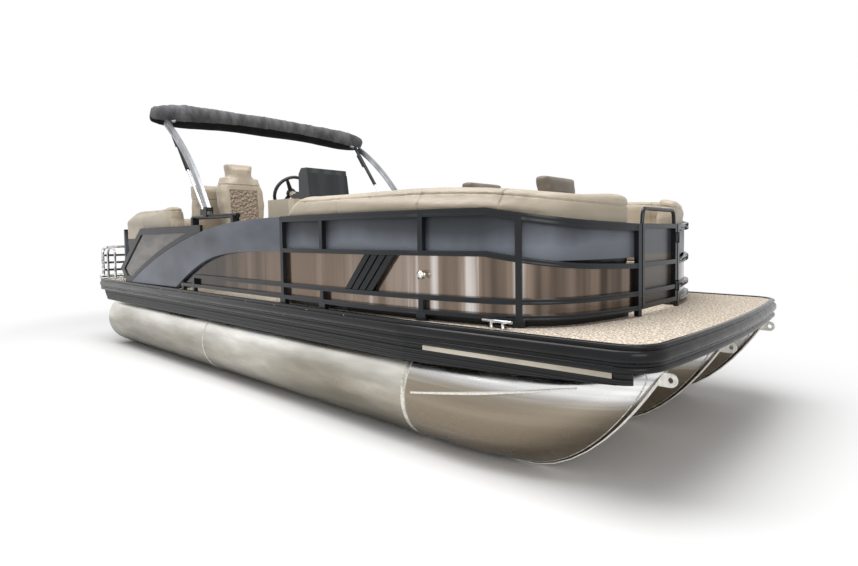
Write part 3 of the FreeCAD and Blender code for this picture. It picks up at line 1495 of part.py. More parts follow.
def bimini():
    mounts = []
    y = -arch_half_width
    bar_z = arch_foot_z - mount_height - mount_bar_radius
    bar = rod(V(x_at(mount_aft_station), y, bar_z), V(x_at(mount_fore_station), y, bar_z), mount_bar_radius)
    pieces = [bar]
    for station in (mount_fore_station + overrun, mount_aft_station - overrun):
        half = overrun / 2
        block = box(station - half, station + half, y - mount_foot_reach, y + mount_bar_radius, mount_foot_z, bar_z)
        pieces.append(block.cut(quarter_band()).cut(window_solid(0, window_frame_thickness, 0)))
    for side in (-1, 1):
        lug_y = y + side * (arch_tube_radius + lug_gap + lug_thickness / 2)
        pieces.append(box(arch_foot_station - lug_width / 2, arch_foot_station + lug_width / 2, lug_y - lug_thickness / 2, lug_y + lug_thickness / 2, bar_z, arch_foot_z + lug_width / 2))
    bridge = box(arch_foot_station - lug_width / 2, arch_foot_station + lug_width / 2, y - arch_tube_radius - lug_gap - lug_thickness, y + arch_tube_radius + lug_gap + lug_thickness, bar_z, bar_z + mount_bar_radius)
    pieces.append(bridge)
    pieces.append(rod(V(x_at(arch_foot_station), y - arch_tube_radius - lug_gap, arch_foot_z), V(x_at(arch_foot_station), y + arch_tube_radius + lug_gap, arch_foot_z), lug_pin_radius))
    ear_y = -strut_y() - rod_eye_width / 2 - seat_gap
    pieces.append(box(strut_eye_station - lug_width / 2, strut_eye_station + lug_width / 2, ear_y - lug_thickness, ear_y, bar_z - mount_bar_radius / 2, strut_eye_z + lug_width / 2))
    pieces.append(box(strut_eye_station - lug_width / 2, strut_eye_station + lug_width / 2, y, ear_y, bar_z - mount_bar_radius / 2, bar_z + mount_bar_radius / 2))
    export("bimini_mounts", pair(fused(pieces)))
    foot = arch_point(-arch_half_width, -lug_width / 4)
    shoulder = arch_point(-arch_half_width + arch_tumble, arch_length)
    rise = (shoulder - foot).normalize()
    start = foot + rise * (arch_fitting_length / 2)
    crown = arch_point(0, arch_length + arch_crown)
    points = [start, shoulder, crown, V(shoulder.x, -shoulder.y, shoulder.z), V(start.x, -start.y, start.z)]
    arch = bent_tube(points, arch_shoulder_radius, arch_tube_radius)
    fitting = rod(foot, foot + rise * arch_fitting_length, arch_fitting_radius)
    side = V(0, arch_fitting_radius + lug_gap, 0)
    pivot = arch_point(-arch_half_width, 0)
    hole = rod(pivot - side, pivot + side, lug_pin_radius + pin_play)
    pin, _ = strut_ends()
    stub = rod(V(pin.x, -arch_half_width, pin.z), V(pin.x, -strut_y() + sleeve_radius, pin.z), strut_pin_radius)
    feet = [fitting, stub, mirrored(fitting), mirrored(stub)]
    legs = fused([arch] + feet).cut(hole).cut(mirrored(hole)).cut(canvas_boot())
    export("bimini_boot", canvas_boot())
    export("bimini_arch", [leg for leg in legs.Solids if leg.BoundBox.ZMin < arch_foot_z])


def canvas_boot():
    """Padded canvas boot round the folded top, across the head of the arch."""
    ribs = []
    for share in boot_end_shares:
        y = share * (arch_half_width - arch_tumble)
        crown = arch_crown * (1 - share * share)
        scale = boot_scale(share)
        ribs.append(boot_rib(y, arch_length + crown, scale))
    return Part.makeLoft(ribs, True, False)


def boot_scale(share):
    return 1 - (1 - boot_end_share) * abs(share) ** boot_end_power


def boot_rib(y, reach, scale):
    """One closed section of the boot, square to the beam."""
    along = V(-math.cos(arch_angle), 0, math.sin(arch_angle))
    across = V(math.sin(arch_angle), 0, math.cos(arch_angle))
    centre = arch_point(y, reach)
    points = []
    for i in range(boot_sides):
        angle = 2 * math.pi * (i + 0.5) / boot_sides
        out = along * (math.cos(angle) * boot_depth / 2 * scale) + across * (math.sin(angle) * boot_height / 2 * scale)
        points.append(centre + out)
    return Part.makePolygon(points + points[:1])


def lift_struts():
    """Sleeves pinned to the arch and the rods that slide out of them."""
    pin, eye = strut_ends()
    along = (eye - pin).normalize()
    sleeve_end = pin + along * sleeve_length
    body = rod(pin - along * sleeve_radius * 2, sleeve_end, sleeve_radius)
    bore = rod(pin + along * sleeve_radius * 2, sleeve_end - along * gland_length, sleeve_radius - sleeve_wall)
    neck = rod(sleeve_end - along * gland_length, sleeve_end, rod_radius + rod_play)
    side = V(0, sleeve_radius + pin_play, 0)
    eye_hole = rod(pin - side, pin + side, strut_pin_radius + pin_play)
    sleeve = body.cut(bore).cut(neck).cut(eye_hole)
    motor = rod(pin + V(0, 0, -lift_motor_drop) + along * lift_motor_start, pin + V(0, 0, -lift_motor_drop) + along * (lift_motor_start + lift_motor_length), lift_motor_radius)
    motor = motor.cut(rod(pin, sleeve_end, sleeve_radius - seat_gap))
    export("lift_sleeves", pair(sleeve.fuse(motor)))
    top = sleeve_end - along * rod_overlap
    shaft = rod(top, eye, rod_radius)
    piston = rod(top, top + along * gland_length, sleeve_radius - sleeve_wall - rod_play)
    half = V(0, rod_eye_width / 2, 0)
    eye_ring = rod(eye - half, eye + half, rod_radius + pin_play * 2)
    export("lift_rods", pair(fused([shaft, piston, eye_ring])))


def ladder():
    """Boarding ladder hinged on the deck's aft face, stowed upright."""
    x = x_at(ladder_station)
    y0 = -ladder_outer
    y1 = y0 + ladder_width
    rails = []
    top = ladder_hinge_z + ladder_height
    points = [V(x, y0, ladder_hinge_z), V(x, y0, top), V(x, y1, top), V(x, y1, ladder_hinge_z)]
    rails.append(bent_tube(points, ladder_bend, ladder_tube_radius))
    pitch = ladder_height / ladder_tread_count
    for i in range(ladder_tread_count - 1):
        z = ladder_hinge_z + pitch * (i + ladder_tread_share)
        rails.append(Part.makeBox(ladder_tread_depth, ladder_width, ladder_tread_thickness, V(x - ladder_tread_depth / 2, y0, z)))
    barrel = rod(V(x, y0 - ladder_barrel_radius, ladder_hinge_z), V(x, y1 + ladder_barrel_radius, ladder_hinge_z), ladder_barrel_radius)
    bore = rod(V(x, y0 - overrun, ladder_hinge_z), V(x, y1 + overrun, ladder_hinge_z), hinge_pin_radius + pin_play)
    export("boarding_ladder", fused(rails + [barrel]).cut(bore))
    mounts = [rod(V(x, y0 - overrun, ladder_hinge_z), V(x, y1 + overrun, ladder_hinge_z), hinge_pin_radius)]
    face = x_at(deck_aft_station) - rail_bulge - seat_gap
    for y in (y0 - overrun, y1 + overrun - lug_thickness):
        reach = face - x + ladder_tube_radius
        mounts.append(Part.makeBox(reach, lug_thickness, ladder_tube_radius * 2, V(x - ladder_tube_radius, y, ladder_hinge_z - ladder_tube_radius)))
        mounts.append(Part.makeBox(rail_wall, lug_thickness, ladder_hinge_z - rail_bottom, V(face - rail_wall, y, rail_bottom)))
    export("ladder_hinge", fused(mounts))


# Outboard: modelled upright about its tilt pin, then swung up for parking.
def parked(shape):
    shape.rotate(V(0, 0, 0), V(0, 1, 0), rest_tilt)
    shape.translate(V(x_at(tilt_station), 0, tilt_z))
    return shape


def taper_section(z, size_shares):
    """A plan section of the leg: blunt ahead and drawn to an edge aft."""
    length = leg_chord * size_shares[0]
    width = leg_thickness * size_shares[1]
    points = []
    for along, across in leg_section_shares:
        points.append(V(leg_middle + length * along, width * across, z))
    return Part.makePolygon(points + points[:1])


def cowl_body(inset):
    """The cowl as its side outline crossed with its outline from ahead."""
    side = [V(-cowl_back + cowl_length * a, -cowl_width, cowl_base + cowl_height * b) for a, b in cowl_side_shares]
    ahead = [V(-cowl_back - cowl_length, cowl_width * a, cowl_base + cowl_height * b) for a, b in cowl_front_shares]
    ahead += [V(point.x, -point.y, point.z) for point in reversed(ahead)]
    profile = polygon_face(side)
    front = polygon_face(ahead)
    if inset:
        profile = profile.makeOffset2D(-inset).Faces[0]
        front = front.makeOffset2D(-inset).Faces[0]
    return profile.extrude(V(0, 2 * cowl_width, 0)).common(front.extrude(V(2 * cowl_length, 0, 0)))


def transom():
    """Motor pod aft of the centre tube, with its transom plate and clamps."""
    plate = box(transom_station - transom_thickness, transom_station, -transom_width / 2, transom_width / 2, transom_bottom, transom_top)
    outline = [
        (tube_length, pod_top),
        (transom_station - transom_thickness, pod_top),
        (transom_station - transom_thickness, transom_bottom),
        (tube_length, motor_pod_foot_z),
    ]
    pod = side_plate(outline, -motor_pod_half_width, motor_pod_half_width)
    export("motor_pod", plate.fuse(pod).removeSplitter())
    pieces = []
    for side in (-1, 1):
        y = side * clamp_gap
        inner = y - side * clamp_thickness
        outline = [
            (transom_station + seat_gap, tilt_z + clamp_thickness),
            (tilt_station + clamp_reach, tilt_z + clamp_thickness),
            (tilt_station + clamp_reach, tilt_z - clamp_thickness),
            (transom_station + clamp_thickness, tilt_z - clamp_height),
            (transom_station + seat_gap, tilt_z - clamp_height),
        ]
        pieces.append(side_plate(outline, min(y, inner), max(y, inner)))
    pin = rod(V(x_at(tilt_station), -clamp_gap, tilt_z), V(x_at(tilt_station), clamp_gap, tilt_z), tilt_pin_radius)
    export("clamp_brackets", fused(pieces + [pin]))


def outboard():
    play = V(0, clamp_gap - clamp_thickness - lug_gap, 0)
    knuckle = rod(-play, play, tilt_pin_radius * 2)
    swivel = rod(V(-steer_back, 0, -swivel_length), V(-steer_back, 0, -lug_gap), swivel_radius)
    arm = Part.makeBox(steer_back, swivel_radius * 2, tilt_pin_radius * 4, V(-steer_back, -swivel_radius, -tilt_pin_radius * 4))
    bracket = fused([knuckle, swivel, arm])
    bracket = bracket.cut(rod(-play * 2, play * 2, tilt_pin_radius + rod_play))
    bracket = bracket.cut(rod(V(-steer_back, 0, -swivel_length - overrun), V(-steer_back, 0, overrun), kingpin_radius + rod_play))
    export("swivel_bracket", parked(bracket))
    kingpin = rod(V(-steer_back, 0, -swivel_length), V(-steer_back, 0, cowl_base), kingpin_radius)
    deckplate = Part.makeCylinder(deckplate_radius, cowl_base - lug_gap * 2, V(-cowl_back, 0, lug_gap * 2))
    deckplate = deckplate.common(Part.makeBox(cowl_length, cowl_width, cowl_base, V(-cowl_back - cowl_length / 2, -cowl_width / 2, 0)))
    leg = Part.makeLoft([
        taper_section(lug_gap * 2, leg_root_shares),
        taper_section(-leg_length, leg_plate_shares),
        taper_section(-leg_length - gearcase_drop, leg_gearcase_shares),
    ], True, True)
    corner = V(leg_middle - plate_back, -plate_width / 2, -leg_length)
    plate = Part.makeBox(plate_length, plate_width, plate_thickness, corner)
    plate = plate.makeChamfer(plate_round, [e for e in plate.Edges if e.BoundBox.ZLength > plate_thickness / 2])
    shaft_z = -leg_length - gearcase_drop
    nose_x = leg_middle + leg_chord / 2 + gearcase_radius
    tail_x = nose_x - gearcase_length
    torpedo = Part.makeCylinder(gearcase_radius, gearcase_length - 2 * gearcase_radius, V(tail_x, 0, shaft_z), V(1, 0, 0))
    cone = Part.makeCone(gearcase_radius, gearcase_tip_radius, 2 * gearcase_radius, V(nose_x - 2 * gearcase_radius, 0, shaft_z), V(1, 0, 0))
    rim = [V(leg_middle + leg_chord * a, -skeg_thickness / 2, shaft_z - skeg_depth * b) for a, b in skeg_shares]
    skeg = polygon_face(rim).extrude(V(0, skeg_thickness, 0))
    shaft = rod(V(tail_x, 0, shaft_z), V(tail_x - propeller_hub_length - shaft_gap, 0, shaft_z), shaft_radius)
    export("motor_leg", parked(fused([kingpin, deckplate, leg, plate, torpedo, cone, skeg, shaft])))
    outer = cowl_body(0)
    outer = outer.makeFillet(cowl_edge_radius, [e for e in outer.Edges if e.BoundBox.ZMin > cowl_base + cowl_wall])
    shell = outer.cut(cowl_body(cowl_inner_inset))
    shell.translate(V(0, 0, seat_gap))
    export("motor_cowl", parked(shell))
    floor = cowl_base + cowl_inner_inset + 2 * seat_gap
    block = Part.makeBox(engine_length, engine_width, engine_height, V(-cowl_back - engine_length / 2, -engine_width / 2, floor))
    export("engine_block", parked(block))
    hub = Part.makeCylinder(propeller_hub_radius, propeller_hub_length, V(tail_x - shaft_gap - propeller_hub_length, 0, shaft_z), V(1, 0, 0))
    blades = [hub]
    for i in range(blade_count):
        blade = propeller_blade(tail_x - shaft_gap - propeller_hub_length / 2, shaft_z)
        blade.rotate(V(0, 0, shaft_z), V(1, 0, 0), 360 * i / blade_count)
        blades.append(blade)
    wheel = fused(blades)
    bore = rod(V(tail_x, 0, shaft_z), V(tail_x - propeller_hub_length * 2, 0, shaft_z), shaft_radius + rod_play)
    export("propeller", parked(wheel.cut(bore)))


def propeller_blade(x, z):
    """A flat blade with a rounded tip, set at its pitch to the hub."""
    fore = [V(0, propeller_radius * b, propeller_radius * a) for a, b in blade_outline_shares]
    aft = [V(0, -point.y, point.z) for point in reversed(fore)]
    blade = polygon_face(fore + aft).extrude(V(blade_thickness, 0, 0))
    blade.translate(V(-blade_thickness / 2, 0, 0))
    blade.rotate(V(0, 0, 0), UP, blade_pitch)
    blade.translate(V(x, 0, z))
    return blade


pontoons()
strakes()
underframe()
deck()
rub_rail()
skirts()
fences()
quarter_panels()
aft_windows()
louvres()
bow_gate()
side_gate()
stern_fence()
stern_gate()
deck_hardware()

couches()
chaise_backs()
console()
steering_wheel()
throttle()
helm_seat()
bimini()
lift_struts()
ladder()
transom()
outboard()
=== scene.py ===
import bmesh
import bpy
import math
from mathutils import Matrix, Vector, noise


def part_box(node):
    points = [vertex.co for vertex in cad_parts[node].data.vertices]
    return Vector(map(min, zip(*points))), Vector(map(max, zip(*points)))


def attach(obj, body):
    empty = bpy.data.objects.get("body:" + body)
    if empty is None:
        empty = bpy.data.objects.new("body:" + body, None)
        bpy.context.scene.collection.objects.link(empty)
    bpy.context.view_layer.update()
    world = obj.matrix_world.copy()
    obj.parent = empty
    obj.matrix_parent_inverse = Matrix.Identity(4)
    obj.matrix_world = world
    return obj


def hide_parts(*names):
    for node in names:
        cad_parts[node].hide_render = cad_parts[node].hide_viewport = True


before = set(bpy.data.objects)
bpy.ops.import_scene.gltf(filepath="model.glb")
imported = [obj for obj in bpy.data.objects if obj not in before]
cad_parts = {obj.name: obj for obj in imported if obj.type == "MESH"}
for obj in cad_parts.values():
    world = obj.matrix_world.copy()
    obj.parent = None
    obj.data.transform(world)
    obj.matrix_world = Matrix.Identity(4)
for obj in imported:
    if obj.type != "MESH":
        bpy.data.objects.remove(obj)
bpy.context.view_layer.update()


# Camera: a wide view from ahead of the starboard bow at chest height, level
# with the fence, as in a showroom. Lengths are in metres and angles in degrees.
camera_place = Vector((5.1456, -3.4106, 1.2935))
camera_yaw = math.radians(128.89)
camera_pitch = math.radians(-2.57)
camera_roll = math.radians(0.49)
focal_px = 548.6
picture_width_px = 858
picture_height_px = 566
axis_px = (502.0, 258.6)

ahead = Vector((
    math.cos(camera_pitch) * math.cos(camera_yaw),
    math.cos(camera_pitch) * math.sin(camera_yaw),
    math.sin(camera_pitch),
))
level_right = Vector((math.sin(camera_yaw), -math.cos(camera_yaw), 0))
level_down = ahead.cross(level_right)
right = level_right * math.cos(camera_roll) + level_down * math.sin(camera_roll)
down = level_down * math.cos(camera_roll) - level_right * math.sin(camera_roll)
scene = bpy.context.scene


def new_object(name, data):
    made = bpy.data.objects.new(name, data)
    scene.collection.objects.link(made)
    return made


camera_data = bpy.data.cameras.new("camera")
camera_data.sensor_width = 36
camera_data.lens = camera_data.sensor_width * focal_px / picture_width_px
camera_data.shift_x = (picture_width_px / 2 - axis_px[0]) / picture_width_px
camera_data.shift_y = (axis_px[1] - picture_height_px / 2) / picture_width_px
camera_data.clip_end = 200
camera = new_object("camera", camera_data)
turn = Matrix((right, -down, -ahead)).transposed().to_4x4()
camera.matrix_world = Matrix.Translation(camera_place) @ turn
scene.camera = camera
scene.view_settings.view_transform = "Standard"


# Studio: a white room. The floor keeps the boat's soft shadow and turns plain
# white further out. A broad lamp hangs overhead and a weaker one off the bow.
room_white = (0.96, 0.96, 0.96)
room_light = 0.37
room_glow = 1.05
shadow_reach = (4.8, 2.6)
white_reach = 1.45


def add_node(material, kind, **inputs):
    node = material.node_tree.nodes.new(kind)
    for name, value in inputs.items():
        node.inputs[name].default_value = value
    return node


def link(material, start, end):
    material.node_tree.links.new(start, end)


def add_math(material, operation, first, second):
    node = material.node_tree.nodes.new("ShaderNodeMath")
    node.operation = operation
    for socket, value in zip(node.inputs, (first, second)):
        if isinstance(value, bpy.types.NodeSocket):
            link(material, value, socket)
        else:
            socket.default_value = value
    return node.outputs["Value"]


def map_range(material, value, before, after):
    """Carries a value from one range to another."""
    node = add_node(material, "ShaderNodeMapRange")
    for name, end in zip(("From Min", "From Max", "To Min", "To Max"), (*before, *after)):
        node.inputs[name].default_value = end
    link(material, value, node.inputs["Value"])
    return node


def seen_directly(material):
    """Where the room shows: to the camera, in gloss and through glass."""
    rays = add_node(material, "ShaderNodeLightPath")
    either = add_math(material, "MAXIMUM", rays.outputs["Is Camera Ray"], rays.outputs["Is Glossy Ray"])
    return add_math(material, "MAXIMUM", either, rays.outputs["Is Transmission Ray"])


def add_lamp(name, place, aim, size, power):
    data = bpy.data.lights.new(name, "AREA")
    data.shape = "RECTANGLE"
    data.size, data.size_y = size
    data.energy = power
    lamp = new_object(name, data)
    lamp.location = place
    lamp.rotation_euler = (Vector(aim) - Vector(place)).to_track_quat("-Z", "Y").to_euler()


def put_into(data, mesh):
    mesh.to_mesh(data)
    mesh.free()


room = bpy.data.worlds.new("room")
room.use_nodes = True
sky = room.node_tree.nodes["Background"]
sky.inputs["Color"].default_value = (*room_white, 1)
level = map_range(room, seen_directly(room), (0, 1), (room_light, room_glow))
link(room, level.outputs["Result"], sky.inputs["Strength"])
scene.world = room
add_lamp("lamp_over", (1.0, -1.8, 7.0), (0.0, 0.0, 0.0), (9.0, 5.0), 690)
add_lamp("lamp_bow", (9.0, -5.0, 3.0), (1.0, 0.0, 0.8), (4.0, 3.0), 115)

floor_mesh = bmesh.new()
bmesh.ops.create_grid(floor_mesh, x_segments=1, y_segments=1, size=60)
floor_data = bpy.data.meshes.new("floor")
put_into(floor_data, floor_mesh)
floor = new_object("floor", floor_data)
floor_finish = bpy.data.materials.new("studio_floor")
floor_finish.use_nodes = True
floor_shader = floor_finish.node_tree.nodes["Principled BSDF"]
floor_shader.inputs["Base Color"].default_value = (*room_white, 1)
floor_shader.inputs["Roughness"].default_value = 0.9
spot = add_node(floor_finish, "ShaderNodeTexCoord")
scaled = add_node(floor_finish, "ShaderNodeMapping", Scale=(1 / shadow_reach[0], 1 / shadow_reach[1], 0))
link(floor_finish, spot.outputs["Object"], scaled.inputs["Vector"])
away = floor_finish.node_tree.nodes.new("ShaderNodeVectorMath")
away.operation = "LENGTH"
link(floor_finish, scaled.outputs["Vector"], away.inputs[0])
fade = map_range(floor_finish, away.outputs["Value"], (1, white_reach), (0, 1))
fade.interpolation_type = "SMOOTHSTEP"
blank = add_node(floor_finish, "ShaderNodeEmission", Strength=1.0)
mixed = add_node(floor_finish, "ShaderNodeMixShader")
blank_share = add_math(floor_finish, "MULTIPLY", fade.outputs["Result"], seen_directly(floor_finish))
link(floor_finish, blank_share, mixed.inputs["Fac"])
link(floor_finish, floor_shader.outputs["BSDF"], mixed.inputs[1])
link(floor_finish, blank.outputs["Emission"], mixed.inputs[2])
floor_surface = floor_finish.node_tree.nodes["Material Output"].inputs["Surface"]
link(floor_finish, mixed.outputs["Shader"], floor_surface)
floor_data.materials.append(floor_finish)


# Pontoons: three aluminium tubes. Each is rolled from sheets that are welded
# end to end, so it has raised rings, a satin skin and cloudy streaks. Its colour
# is a painted highlight above, a bluish painted reflection along the top and painted shade below.
ring_bands = ((-0.13, 0.010), (2.625, 0.030))
ring_rise = 0.0016
cap_share = 0.96
cap_depth = 0.012
tube_sides = 96
# Grades over height: painted shade low down, painted highlight higher up, and a bluish painted
# reflection at the top.
sheet_light_grades = (
    (0.00, (0.085, 0.074, 0.052)),
    (0.26, (0.17, 0.150, 0.112)),
    (0.48, (0.35, 0.325, 0.275)),
    (0.64, (0.58, 0.56, 0.51)),
    (0.80, (0.94, 0.92, 0.86)),
    (0.95, (0.55, 0.58, 0.66)),
)


def shader_of(material):
    return material.node_tree.nodes["Principled BSDF"]


def new_finish(name, colour, roughness, metallic=0.0, shine=0.5):
    material = bpy.data.materials.new(name)
    material.use_nodes = True
    shader = shader_of(material)
    shader.inputs["Base Color"].default_value = (*colour, 1)
    shader.inputs["Roughness"].default_value = roughness
    shader.inputs["Metallic"].default_value = metallic
    shader.inputs["Specular IOR Level"].default_value = shine
    return material


def pattern_on(material, kind, stretch=(1, 1, 1), **inputs):
    """A pattern over the object's own coordinates, stretched along its axes."""
    coords = add_node(material, "ShaderNodeTexCoord")
    mapping = add_node(material, "ShaderNodeMapping", Scale=stretch)
    node = add_node(material, kind, **inputs)
    link(material, coords.outputs["Object"], mapping.inputs["Vector"])
    link(material, mapping.outputs["Vector"], node.inputs["Vector"])
    return node


def clouds(material, scale, stretch=(1, 1, 1), detail=4.0):
    node = pattern_on(material, "ShaderNodeTexNoise", stretch, Scale=scale, Detail=detail)
    return node.outputs["Fac"]


def ramp_over(material, value, stops):
    """A colour ramp with several stops over a value from 0 to 1."""
    ramp = add_node(material, "ShaderNodeValToRGB")
    ends = ramp.color_ramp.elements
    ends[0].position, ends[1].position = stops[0][0], stops[-1][0]
    ends[0].color, ends[1].color = (*stops[0][1], 1), (*stops[-1][1], 1)
    for place, colour in stops[1:-1]:
        ends.new(place).color = (*colour, 1)
    link(material, value, ramp.inputs["Fac"])
    link(material, ramp.outputs["Color"], shader_of(material).inputs["Base Color"])


def tint(material, pattern, low, high, start=0.35, end=0.65):
    """Colours the finish from low to high as the pattern rises."""
    ramp_over(material, pattern, ((start, low), (end, high)))


def mottle(material, scale, low, high):
    tint(material, clouds(material, scale), low, high)


def share_along(material, axis, start, end, pattern, sway):
    """Place between two ends of an axis as 0 to 1, made uneven by a pattern."""
    coords = add_node(material, "ShaderNodeTexCoord")
    parts = add_node(material, "ShaderNodeSeparateXYZ")
    link(material, coords.outputs["Object"], parts.inputs["Vector"])
    along = add_math(material, "SUBTRACT", parts.outputs[axis], start)
    share = add_math(material, "DIVIDE", along, end - start)
    uneven = add_math(material, "MULTIPLY", add_math(material, "SUBTRACT", pattern, 0.5), sway)
    return add_math(material, "ADD", share, uneven)


def vary_gloss(material, pattern, low, high):
    span = map_range(material, pattern, (0.3, 0.7), (low, high))
    link(material, span.outputs["Result"], shader_of(material).inputs["Roughness"])


def roughen(material, pattern, depth):
    """Raises the surface by a pattern, by a depth in metres."""
    bump = add_node(material, "ShaderNodeBump", Distance=depth)
    link(material, pattern, bump.inputs["Height"])
    shader = shader_of(material)
    if shader.inputs["Normal"].links:
        link(material, shader.inputs["Normal"].links[0].from_socket, bump.inputs["Normal"])
    link(material, bump.outputs["Normal"], shader.inputs["Normal"])


def grain(material, scale, depth, detail=4.0):
    roughen(material, clouds(material, scale, detail=detail), depth)


def points_of(geometry):
    return [part for part in geometry if isinstance(part, bmesh.types.BMVert)]


def edges_of(geometry):
    return [part for part in geometry if isinstance(part, bmesh.types.BMEdge)]


def crisp(piece, degrees):
    """Keeps a smooth piece's corners sharp where they turn by more than this."""
    piece.modifiers.new("crisp", "EDGE_SPLIT").split_angle = math.radians(degrees)


def ease(width, *names):
    """Rounds the edges of CAD nodes, as rolled stock and castings have them."""
    for name in names:
        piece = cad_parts[name]
        piece.modifiers.new("joined", "WELD").merge_threshold = 0.00005
        rounding = piece.modifiers.new("rounded", "BEVEL")
        rounding.width = width
        rounding.segments = 2
        rounding.limit_method = "ANGLE"
        rounding.angle_limit = math.radians(35)


def clad(material, *names, edge=0):
    """Gives CAD nodes a finish, and rounds their edges if a width is given."""
    for name in names:
        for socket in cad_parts[name].material_slots:
            socket.material = material
    if edge:
        ease(edge, *names)


def cover(data, material):
    """Gives a mesh one finish and smooth shading."""
    for face in data.polygons:
        face.use_smooth = True
    data.materials.clear()
    data.materials.append(material)


def paint(piece, material, is_painted):
    """Gives a second finish to the faces of a piece that a test picks."""
    piece.data.materials.append(material)
    for face in piece.data.polygons:
        if is_painted(face):
            face.material_index = 1


def link_mesh(name, data, body, material):
    """Makes an object of a mesh and carries it on one of the bodies."""
    cover(data, material)
    piece = new_object(name, data)
    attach(piece, body)
    return piece


def keep_piece(name, mesh, body, material):
    data = bpy.data.meshes.new(name)
    bmesh.ops.recalc_face_normals(mesh, faces=mesh.faces)
    put_into(data, mesh)
    return link_mesh(name, data, body, material)


sheet_metal = new_finish("rolled_sheet", (0.5, 0.5, 0.5), 0.36, 1.0)
tube_low, tube_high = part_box("pontoon_tubes")
patches = clouds(sheet_metal, 1.5, (0.55, 1.6, 2.6))
ramp_over(sheet_metal, share_along(sheet_metal, "Z", 0, tube_high.z, patches, 0.85), sheet_light_grades)
vary_gloss(sheet_metal, clouds(sheet_metal, 2.2, (0.6, 3.0, 3.0)), 0.24, 0.42)
roughen(sheet_metal, clouds(sheet_metal, 4.0, (30.0, 2.0, 2.0)), 0.0005)

tube_radius = (tube_high.z - tube_low.z) / 2
tube_middle_z = (tube_high.z + tube_low.z) / 2
tube_spacing = tube_high.y - tube_radius
stops = []
for place, width in ring_bands:
    half = width / 2
    stops += [(place - half - ring_rise, 0), (place - half, 1)]
    stops += [(place + half, 1), (place + half + ring_rise, 0)]
stops[-1] = (tube_high.x, 0)
tubes = bmesh.new()
for side in (-1, 0, 1):
    ring = bmesh.ops.create_circle(tubes, segments=tube_sides, radius=tube_radius)["verts"]
    stand = Matrix.Translation((tube_low.x, side * tube_spacing, tube_middle_z))
    bmesh.ops.transform(tubes, matrix=stand @ Matrix.Rotation(math.pi / 2, 4, "Y"), verts=ring)
    axis = Matrix.Translation((0, -side * tube_spacing, -tube_middle_z))
    rim = [edge for edge in tubes.edges if edge.verts[0] in ring and edge.verts[1] in ring]
    inner = points_of(bmesh.ops.extrude_edge_only(tubes, edges=rim)["geom"])
    bmesh.ops.scale(tubes, vec=(1, cap_share, cap_share), verts=inner, space=axis)
    bmesh.ops.translate(tubes, vec=(cap_depth, 0, 0), verts=inner)
    bmesh.ops.contextual_create(tubes, geom=inner)
    here = tube_low.x
    edges = rim
    height = 0
    for place, raised in stops:
        grown = bmesh.ops.extrude_edge_only(tubes, edges=edges)["geom"]
        points, edges = points_of(grown), edges_of(grown)
        bmesh.ops.translate(tubes, vec=(place - here, 0, 0), verts=points)
        change = (tube_radius + ring_rise * raised) / (tube_radius + ring_rise * height)
        bmesh.ops.scale(tubes, vec=(1, change, change), verts=points, space=axis)
        here, height = place, raised


def is_on_ring(face):
    offs = [abs(face.center.x - place) - width / 2 for place, width in ring_bands]
    return min(offs) < ring_rise


tube_piece = keep_piece("tubes", tubes, "hull", sheet_metal)
ring_metal = new_finish("ring_band", (0.62, 0.59, 0.51), 0.38, 1.0)
mottle(ring_metal, 20.0, (0.44, 0.41, 0.34), (0.74, 0.72, 0.64))
paint(tube_piece, ring_metal, is_on_ring)
crisp(tube_piece, 40)
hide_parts("pontoon_tubes")


# Nose cones: pressed aluminium that closes on the stem. The lower part is painted
# dark bronze as painted shade, and the upper part has long level streaks of painted highlight.
nose_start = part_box("nose_cones")[0].x
stem_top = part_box("nose_cones")[1].x
stem_foot = 0.85
stem_height = 0.635
stem_power = 2.1
keel_depth = 0.006
nose_fullness = 3.6
nose_rows = 48
nose_columns = 56
# Grades over height: painted shade below, then bands of painted highlight above.
nose_light_grades = (
    (0.00, (0.150, 0.125, 0.088)),
    (0.18, (0.230, 0.190, 0.140)),
    (0.45, (0.225, 0.185, 0.138)),
    (0.68, (0.300, 0.260, 0.205)),
    (0.77, (0.560, 0.555, 0.550)),
    (0.84, (0.880, 0.880, 0.870)),
    (0.92, (0.400, 0.400, 0.410)),
    (1.00, (0.780, 0.790, 0.800)),
)


def stem_at(z):
    share = min(1, max(0, z - keel_depth) / stem_height)
    return stem_top - stem_foot * (1 - share ** (1 / stem_power))


def half_at(z):
    return math.sqrt(max(0, tube_radius ** 2 - (z - tube_middle_z) ** 2))


noses = bmesh.new()
for side in (-1, 0, 1):
    for hand in (-1, 1):
        sheet = bmesh.ops.create_grid(noses, x_segments=nose_columns, y_segments=nose_rows, size=0.5)
        for point in sheet["verts"]:
            along = math.sin(math.pi / 2 * (point.co.x + 0.5))
            up = tube_middle_z - tube_radius * math.cos(math.pi * (point.co.y + 0.5))
            x = nose_start + (stem_at(up) - nose_start) * along
            y = half_at(up) * (1 - along ** nose_fullness)
            point.co = (x, side * tube_spacing + hand * y, up)
bmesh.ops.remove_doubles(noses, verts=noses.verts, dist=0.0002)
nose_metal = new_finish("pressed_nose", (0.4, 0.36, 0.30), 0.24, 1.0)
streaks = clouds(nose_metal, 2.4, (0.22, 0.5, 8.0), 2.0)
ramp_over(nose_metal, share_along(nose_metal, "Z", 0, tube_high.z, streaks, 0.26), nose_light_grades)
vary_gloss(nose_metal, clouds(nose_metal, 3.0, (1.0, 2.0, 6.0)), 0.16, 0.34)
roughen(nose_metal, clouds(nose_metal, 1.6, (0.5, 1.0, 5.0)), 0.003)
nose_piece = keep_piece("noses", noses, "hull", nose_metal)
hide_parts("nose_cones")


